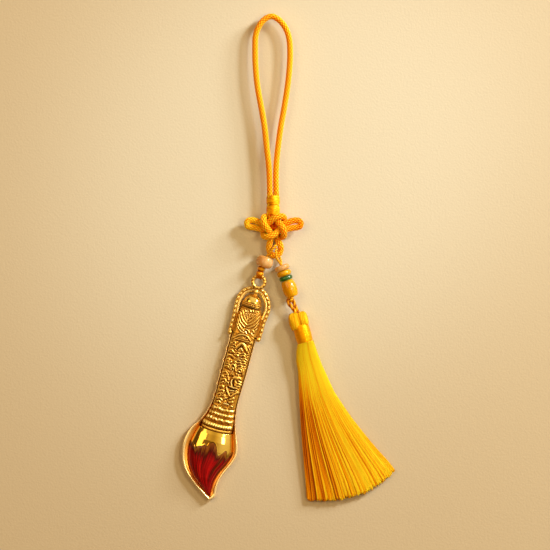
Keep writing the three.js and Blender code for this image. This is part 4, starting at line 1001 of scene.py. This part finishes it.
# Ferrule: three narrow rings and one broad beaded ring, bowed down in the middle
def ferrule_surface(x, d, u, downs):
    # Painted light and shade: each ring and strip is brightest along its top and darker towards its edges and the
    # grooves, and the lumps and beads shift the tone with them.
    height, tone = np.full(x.shape, -0.6), np.full(x.shape, 0.38)
    for k, (a, b) in enumerate([(54.0, 55.85), (56.25, 58.1), (58.5, 60.35)]):
        down = downs + 0.5 * (clouds(x * 0.45 + 17 * k, 5.0, 83) - 0.5)
        share, inside = unit((down - a) / (b - a)), (down > a) & (down < b)
        lumps = 0.14 * (clouds(x * 0.8 + 11 * k, 3.0 + share * 1.5, 81) - 0.5)
        lumps = lumps + 0.1 * unit(-x / 12) * np.sin(x * 2.3 + k)
        back = 0.95 * np.sin(math.pi * share) ** 0.5 - 0.55 + lumps
        height = np.maximum(height, np.where(inside, back, -0.6))
        tone = np.maximum(tone, np.where(inside, np.sin(math.pi * share ** 0.8) ** 0.5 * 0.8 + 2.2 * lumps, 0))
    share = unit((downs - 60.75) / 3.7)
    strip, edge = unit(share / 0.66), unit((share - 0.66) / 0.34)
    beads = 0.16 * np.abs(np.sin(x * 1.25 + 0.5 * clouds(x * 0.6, 2.0, 82))) * bell(share, 0.42, 0.22)
    ripple = np.abs(np.sin(x * 2.1))
    strip_height = 0.9 * np.sin(math.pi * strip) ** 0.6 - 0.4 + 1.6 * beads
    edge_height = 0.35 * np.sin(math.pi * edge) ** 0.5 - 0.15 + 0.12 * ripple
    strip_tone = 0.78 * np.sin(math.pi * strip ** 0.8) ** 0.7 + 2.0 * beads - 0.1
    edge_tone = 0.75 * np.sin(math.pi * edge) ** 0.7 * (0.5 + 0.5 * ripple)
    height = np.where(share > 0, np.where(share < 0.66, strip_height, edge_height), height)
    return height, unit(np.where(share > 0, np.where(share < 0.66, strip_tone, edge_tone), tone))


downs = np.linspace(54.0, 64.45, 190)
lefts, rights = inner_edges(downs, 0.2)
lefts = np.maximum(lefts, np.where(downs > 60.5, -7.5, -99))
rights = np.minimum(rights, np.where(downs > 60.5, 5.5, 99))
rise = 3.3 + 0.5 * smooth(unit((downs - 60.5) / 0.5))
ferrule = raised(downs, lefts, rights, rise, ferrule_surface, 0.8, bow=0.8, foot=0.9)
on_pen(ferrule, "pen_ferrule_rings", GILT, "pen_ferrule")


# Belly and enamel: one crowned form parted along the flame edge
TIP_TOP, TIP_LENGTH = 64.45, 29.45
CROWN = np.array([  # share of the length, share of the height
    (0, 0.8), (0.08, 0.93), (0.17, 1), (0.3, 1), (0.46, 0.96), (0.585, 0.88), (0.7, 0.76), (0.777, 0.6),
    (0.89, 0.36), (0.95, 0.2),
])
FLAME = [  # x and depth, in pixels
    (-30.5, 171), (-24, 170.5), (-20.5, 172.5), (-18, 176.5), (-15.5, 173.5), (-12, 172.5), (-9.5, 170.5),
    (-7.5, 172), (-5, 167.5), (-1.5, 166), (1.5, 168), (4, 173), (6.2, 178), (9, 175.5), (12.5, 171.2),
    (13.8, 172.2), (15, 177.5), (16.6, 176.5), (18, 171.5), (20, 170.5), (26, 170.5),
]
flame_x, flame_down, _ = along([(a * PX, b * PX, 0) for a, b in FLAME], 0.12).T
flame_x = np.maximum.accumulate(flame_x)


def tip_x(u, d):
    """Across the tip. Its sides run together between low and point."""
    low, point = 92.0, 92.6
    edges = []
    for edge, low_edge, last in zip(inner_edges(d, 0.15), inner_edges(low, 0.15), (3.3, 3.7)):
        edges.append(np.where(d > low, np.interp(d, [low, point], [low_edge, last]), edge))
    return spread(np.minimum(edges[0], edges[1] - 0.05), edges[1], u)


def tip_z(u, d):
    crown = np.interp((d - TIP_TOP) / TIP_LENGTH, *CROWN.T) * 4.4
    return PLATE + 0.25 + crown * unit(1 - np.abs(u) ** 2.1) ** 0.5


u = np.linspace(-1, 1, 200)[None, :]
parting = np.full(u.shape, 71.5)
for _ in range(30):  # settles on where each line down the tip meets the flame edge
    parting = 0.5 * parting + 0.5 * np.interp(tip_x(u, parting), flame_x, flame_down)
t = np.linspace(0, 1, 90)[:, None]
d = (TIP_TOP + 0.15 + 0.8 * (1 - u ** 2)) * (1 - t) + parting * t
x, left_over = tip_x(u, d), parting - d
z = tip_z(u, d) + 0.04 * unit(1 - left_over / 0.7) * (1 - unit(1 - left_over / 0.16) ** 2)
# Painted reflection: a dark streak down the belly near its middle and a lighter band just right of it.
tone = 0.66 - 0.34 * bell(x, -1.2, 1.9) * unit(d - 64.5) + 0.12 * bell(x, 3.2, 1.6)
on_pen(domed(pen_place(x, d, z), tone), "pen_belly_gold", GILT_BRIGHT, "pen_belly")

t = np.linspace(0, 1, 210)[:, None] ** 0.9
d = (parting - 0.35) * (1 - t) + 92.55 * t
below = unit((d - parting) / 0.5)
streak = 0.0
for cells, weight, seed in ((13, 0.35, 91), (34, 0.65, 92), (80, 0.7, 93)):
    across = (u + 1 + 0.25 * t * np.sin(2 * u)) * cells / 2 + 3
    streak = streak + weight * (clouds(across, t * 2.6 + u * 1.5, seed) - 0.5)
z = tip_z(u, d) - 0.12 + 0.05 * below + 0.1 * streak * below
smoke = bell(d, parting, 2.0 + 3.5 * bell(u, -0.1, 0.35))
tone = 0.58 + 0.75 * streak - 0.6 * smoke - 0.25 * bell(u, 0.62, 0.22) * unit(1.2 - t)
# Painted light: a bright orange glow along the enamel's left edge.
tone = np.minimum(tone, 0.86) + 0.4 * bell(u, -0.93, 0.07) * unit(t * 2.2 - 0.2)
on_pen(domed(pen_place(tip_x(u, d), d, z), unit(tone)), "pen_tuft_enamel", ENAMEL, "pen_tuft")


# Frame: backing with its rim, scallops, rope arch, balls and eye
def outline(left, right, point):
    """Down the left side to the point and up the right side."""
    sides = []
    for edge in (left, right):
        chain = [(x, down, 0) for x, down in zip(edge, DOWN)] + [(*point, 0)]
        sides.append(even(along(chain, 0.3), 260)[:, :2])
    return np.vstack([sides[0], sides[1][::-1][1:]])


outer = outline(LEFT, RIGHT, PEN_POINT)
inner = outline((LEFT + LEFT_RIM)[:-1], (RIGHT - RIGHT_RIM)[:-1], (PEN_POINT[0] - 0.1, PEN_POINT[1] - 1.7))
scallops = np.array([25.2, 30.3, 35.4, 40.5, 45.6, 50.7])
bulge = np.exp(-((outer[:, 1:] - scallops) / 0.75) ** 4).sum(1) * (outer[:, 0] < 0) * (outer[:, 1] < 53)
outer[:, 0] -= 0.42 * bulge
# The tone is painted light and shade: palest on top of the bevel and darker down the outer and inner walls.
profile = np.array([  # share of the bevel, share of the inner wall, height, tone
    (0.0, 0, 0.0, 0.4), (0.0, 0, 0.5, 0.5), (0.0, 0, 2.0, 0.75), (0.06, 0, 2.26, 0.95), (0.16, 0, 2.4, 1.0),
    (0.6, 0, 2.44, 0.96), (1.0, 0, 2.38, 0.85), (1, 0.15, 2.2, 0.6), (1, 0.5, 2.0, 0.48), (1, 0.85, 1.9, 0.42),
    (1, 1.0, 1.8, 0.4), (1, 1.12, 1.7, 0.36), (1, 1.14, 0.99, 0.3),
])
bevel_share, wall_share, height, tone = profile.T
broad = np.linalg.norm(inner - outer, axis=1)[:, None]
bevel = np.interp(broad, [0.8, 2.4], [0.62, 0.4])
reach = bevel * bevel_share + (1 - bevel) * wall_share
x, down = (outer[:, k, None] + (inner - outer)[:, k, None] * reach for k in (0, 1))
tone = tone + (0.5 - tone) * 0.7 * unit((1.1 - broad) / 0.3) * (tone < 0.7)
backing = Shape().patch(pen_place(x, down, height), tone, around=False, caps=False, flip=True)
bottom = [i * len(profile) for i in range(len(outer))]
backing.faces += [bottom[::-1], [i + len(profile) - 1 for i in bottom]]
neck = [(-5.8, 23.9), (-5.8, 13.5), (-4.0, 11.0), (4.0, 11.0), (5.3, 13.5), (5.3, 23.9)]
turn = angles(64)[0]
circle = np.stack([CAP_X + DOME_RADIUS * np.cos(turn), DOME_TOP + DOME_RADIUS * (1 + np.sin(turn))], 1)
post = [(-0.75, 3.2), (0.75, 3.2), (0.85, 5.9), (-0.85, 5.9)]
for edge, low, high, tone in ((neck, 0, 1.0, 0.6), (circle, 0, 1.0, 0.6), (post, 0.2, 3.1, 0.8)):
    x, down = np.array(edge).T
    backing.patch(pen_place(x, down, [[low], [high]]), tone, flip=True)
on_pen(backing, "pen_frame_rim", GILT_RIM)

ROPE = [  # share of the half width, share of the height
    (-0.95, 1), (-0.945, 0.84), (-0.95, 0.66), (-0.99, 0.48), (-1, 0.34), (-0.94, 0.2), (-0.77, 0.09), (-0.5, 0.02),
    (-0.14, -0.03), (0.28, -0.01), (0.55, 0.05), (0.79, 0.15), (0.95, 0.27), (1, 0.4), (0.96, 0.52), (0.91, 0.66),
    (0.915, 0.84), (0.89, 1),
]
route = [(x * (6.5 if x < 0 else 6.9), -3.4 - d * 20, 2.4) for x, d in ROPE]
line = along(route, 0.11)
way = ways_of(line)
outwards = np.stack([-way[:, 1], way[:, 0], 0 * way[:, 0]], 1)


def beaded(pitch, waist):
    """Long beads in a row, with painted shade between them and painted light on each bead."""
    def form(angle, run):
        full = np.abs(np.sin(math.pi * run / pitch)) ** 0.6 + 0 * angle
        return waist + (1 - waist) * full, 0.05 + 0.9 * full
    return form


def beside(out, level):
    moved = line + out * outwards
    moved[:, 2] = level
    return moved


shape = Shape().tube(beside(0.24, 2.5), 0.42, 24, beaded(2.0, 0.45))
for out, radius, level, tone in (
    (0.7, 0.22, 2.2, 0.6), (-0.22, 0.22, 2.25, 0.5), (-0.88, 0.64, 1.5, 0.92), (0.1, 0.62, 1.45, 0.45),
):
    wire = beside(out, level)[::3]
    if out < -0.5:  # painted shade: the inner wall is darker beside the collar
        low = wire[(wire[:, 1] < -14.6) & (wire[:, 1] > -22.6)]
        for x in (-1, 1):
            shape.tube(low[low[:, 0] * x > 0], 0.6, 18, 0.42)
        wire = wire[wire[:, 1] > -15.2]
    shape.tube(wire, radius, 18, tone)
for end in (route[0], route[-1]):
    shape.ball(end, 1.0, 0.7)
# Painted shade: the eye's rope is darker in the gaps between its beads, on its upper side.
angle, around = angles(260).T, angles(24)
gaps = 1 - np.abs(np.sin(angle * 6)) ** 0.5
facing = unit(np.sin(around)) * unit(0.5 + 0.9 * np.cos(around))
r = 0.74 * (1 - 0.35 * gaps * facing)
far = EYE_RADIUS + r * np.cos(around)
rings = points_of(far * np.cos(angle), far * np.sin(angle), EYE_LEVEL + 0.9 * r * np.sin(around))
tones = unit(0.74 - 0.9 * gaps * unit(facing * 2))
shape.patch(np.vstack([rings, rings[:1]]), np.vstack([tones, tones[:1]]), caps=False, flip=True)
shape.ball((0, -4.3, 2.9), (1.15, 1.25, 1.1), 0.75)
on_pen(shape, "pen_frame_rope", GILT, "pen_frame")


# Floor, light and world

FLOOR = look(
    "floor_cloth", [(0, (202, 187, 153)), (1, (225, 222, 200))],
    roughness=0.95, grain=(0.9, 0.07), patches=(1.1, 0.15), Specular_IOR_Level=0.1,
)
FLOOR_EDGE = 3000
LIT_MIDDLE = (0.4, 79)
x = np.r_[-FLOOR_EDGE, np.linspace(-200, 200, 81), FLOOR_EDGE]
y = np.r_[-FLOOR_EDGE, np.linspace(-170, 230, 81), FLOOR_EDGE]
x, y = np.meshgrid(x, y)
# Painted light: the floor is brightest round LIT_MIDDLE and darker further out, a painted pool of light.
right, up = x - LIT_MIDDLE[0], y - LIT_MIDDLE[1]
long, wide = (0.76 * right + 0.65 * up) / 140, (0.65 * right - 0.76 * up) / 118
tone = 1 / (1 + 2.6 * (long ** 2 + wide ** 2) ** 2)
floor = Shape().patch(points_of(x, y, 0), tone, around=False, caps=False).placed("floor", FLOOR)
floor.location = (0, 0, -0.00002)


CHARM_MIDDLE = np.array([-0.006, 0.03, 0])


def lamp(name, azimuth, elevation, far, size, power, colour):
    """A round lamp that looks at the middle of the charm. far and size are in metres."""
    data = bpy.data.lights.new(name, "AREA")
    data.shape = "DISK"
    data.size, data.energy, data.color = size, power, colour
    obj = bpy.data.objects.new(name, data)
    a, e = math.radians(azimuth), math.radians(elevation)
    back = np.array([math.cos(e) * math.cos(a), math.cos(e) * math.sin(a), math.sin(e)])
    side = np.cross([0, 0, 1.0], back)
    side /= np.linalg.norm(side)
    place = CHARM_MIDDLE + far * back
    axes = np.stack([side, np.cross(back, side), back, place], 1)
    obj.matrix_world = Matrix(np.vstack([axes, [0, 0, 0, 1]]).tolist())
    bpy.context.scene.collection.objects.link(obj)


lamp("key", 37, 30, 1.1, 0.2, 8.2, (1, 0.98, 0.95))
lamp("low", 32, 18, 1.1, 0.24, 5.8, (1, 0.99, 0.97))
lamp("soft", 8, 59, 1.0, 0.3, 2.8, (1, 0.76, 0.46))
lamp("fill", 152, 56, 1.0, 0.6, 3.0, (1, 0.68, 0.34))

world = bpy.data.worlds.new("world")
bpy.context.scene.world = world
world.use_nodes = True
room = world.node_tree
background = room.nodes["Background"]
background.inputs["Strength"].default_value = 1
direction = node(room, "TexCoord")
towards = node(room, "VectorMath", "DOT_PRODUCT")
towards.inputs[1].default_value = (0.62, 0.62, 0.48)
room.links.new(direction.outputs["Generated"], towards.inputs[0])
walls = ramp_of(room, towards.outputs["Value"], [
    (0, (0.12, 0.065, 0.02, 1)), (0.42, (0.27, 0.18, 0.08, 1)), (0.56, (0.74, 0.6, 0.36, 1)),
    (0.85, (1, 0.9, 0.68, 1)),
])
ray = node(room, "LightPath")
seen = node(room, "Mix")  # glossy rays see the walls, all others the plain colour of input 6
seen.data_type = "RGBA"
seen.inputs[6].default_value = (0.22, 0.125, 0.05, 1)
room.links.new(ray.outputs["Is Glossy Ray"], seen.inputs[0])
room.links.new(walls, seen.inputs[7])
room.links.new(seen.outputs[2], background.inputs["Color"])

bpy.context.scene.view_settings.view_transform = "Standard"
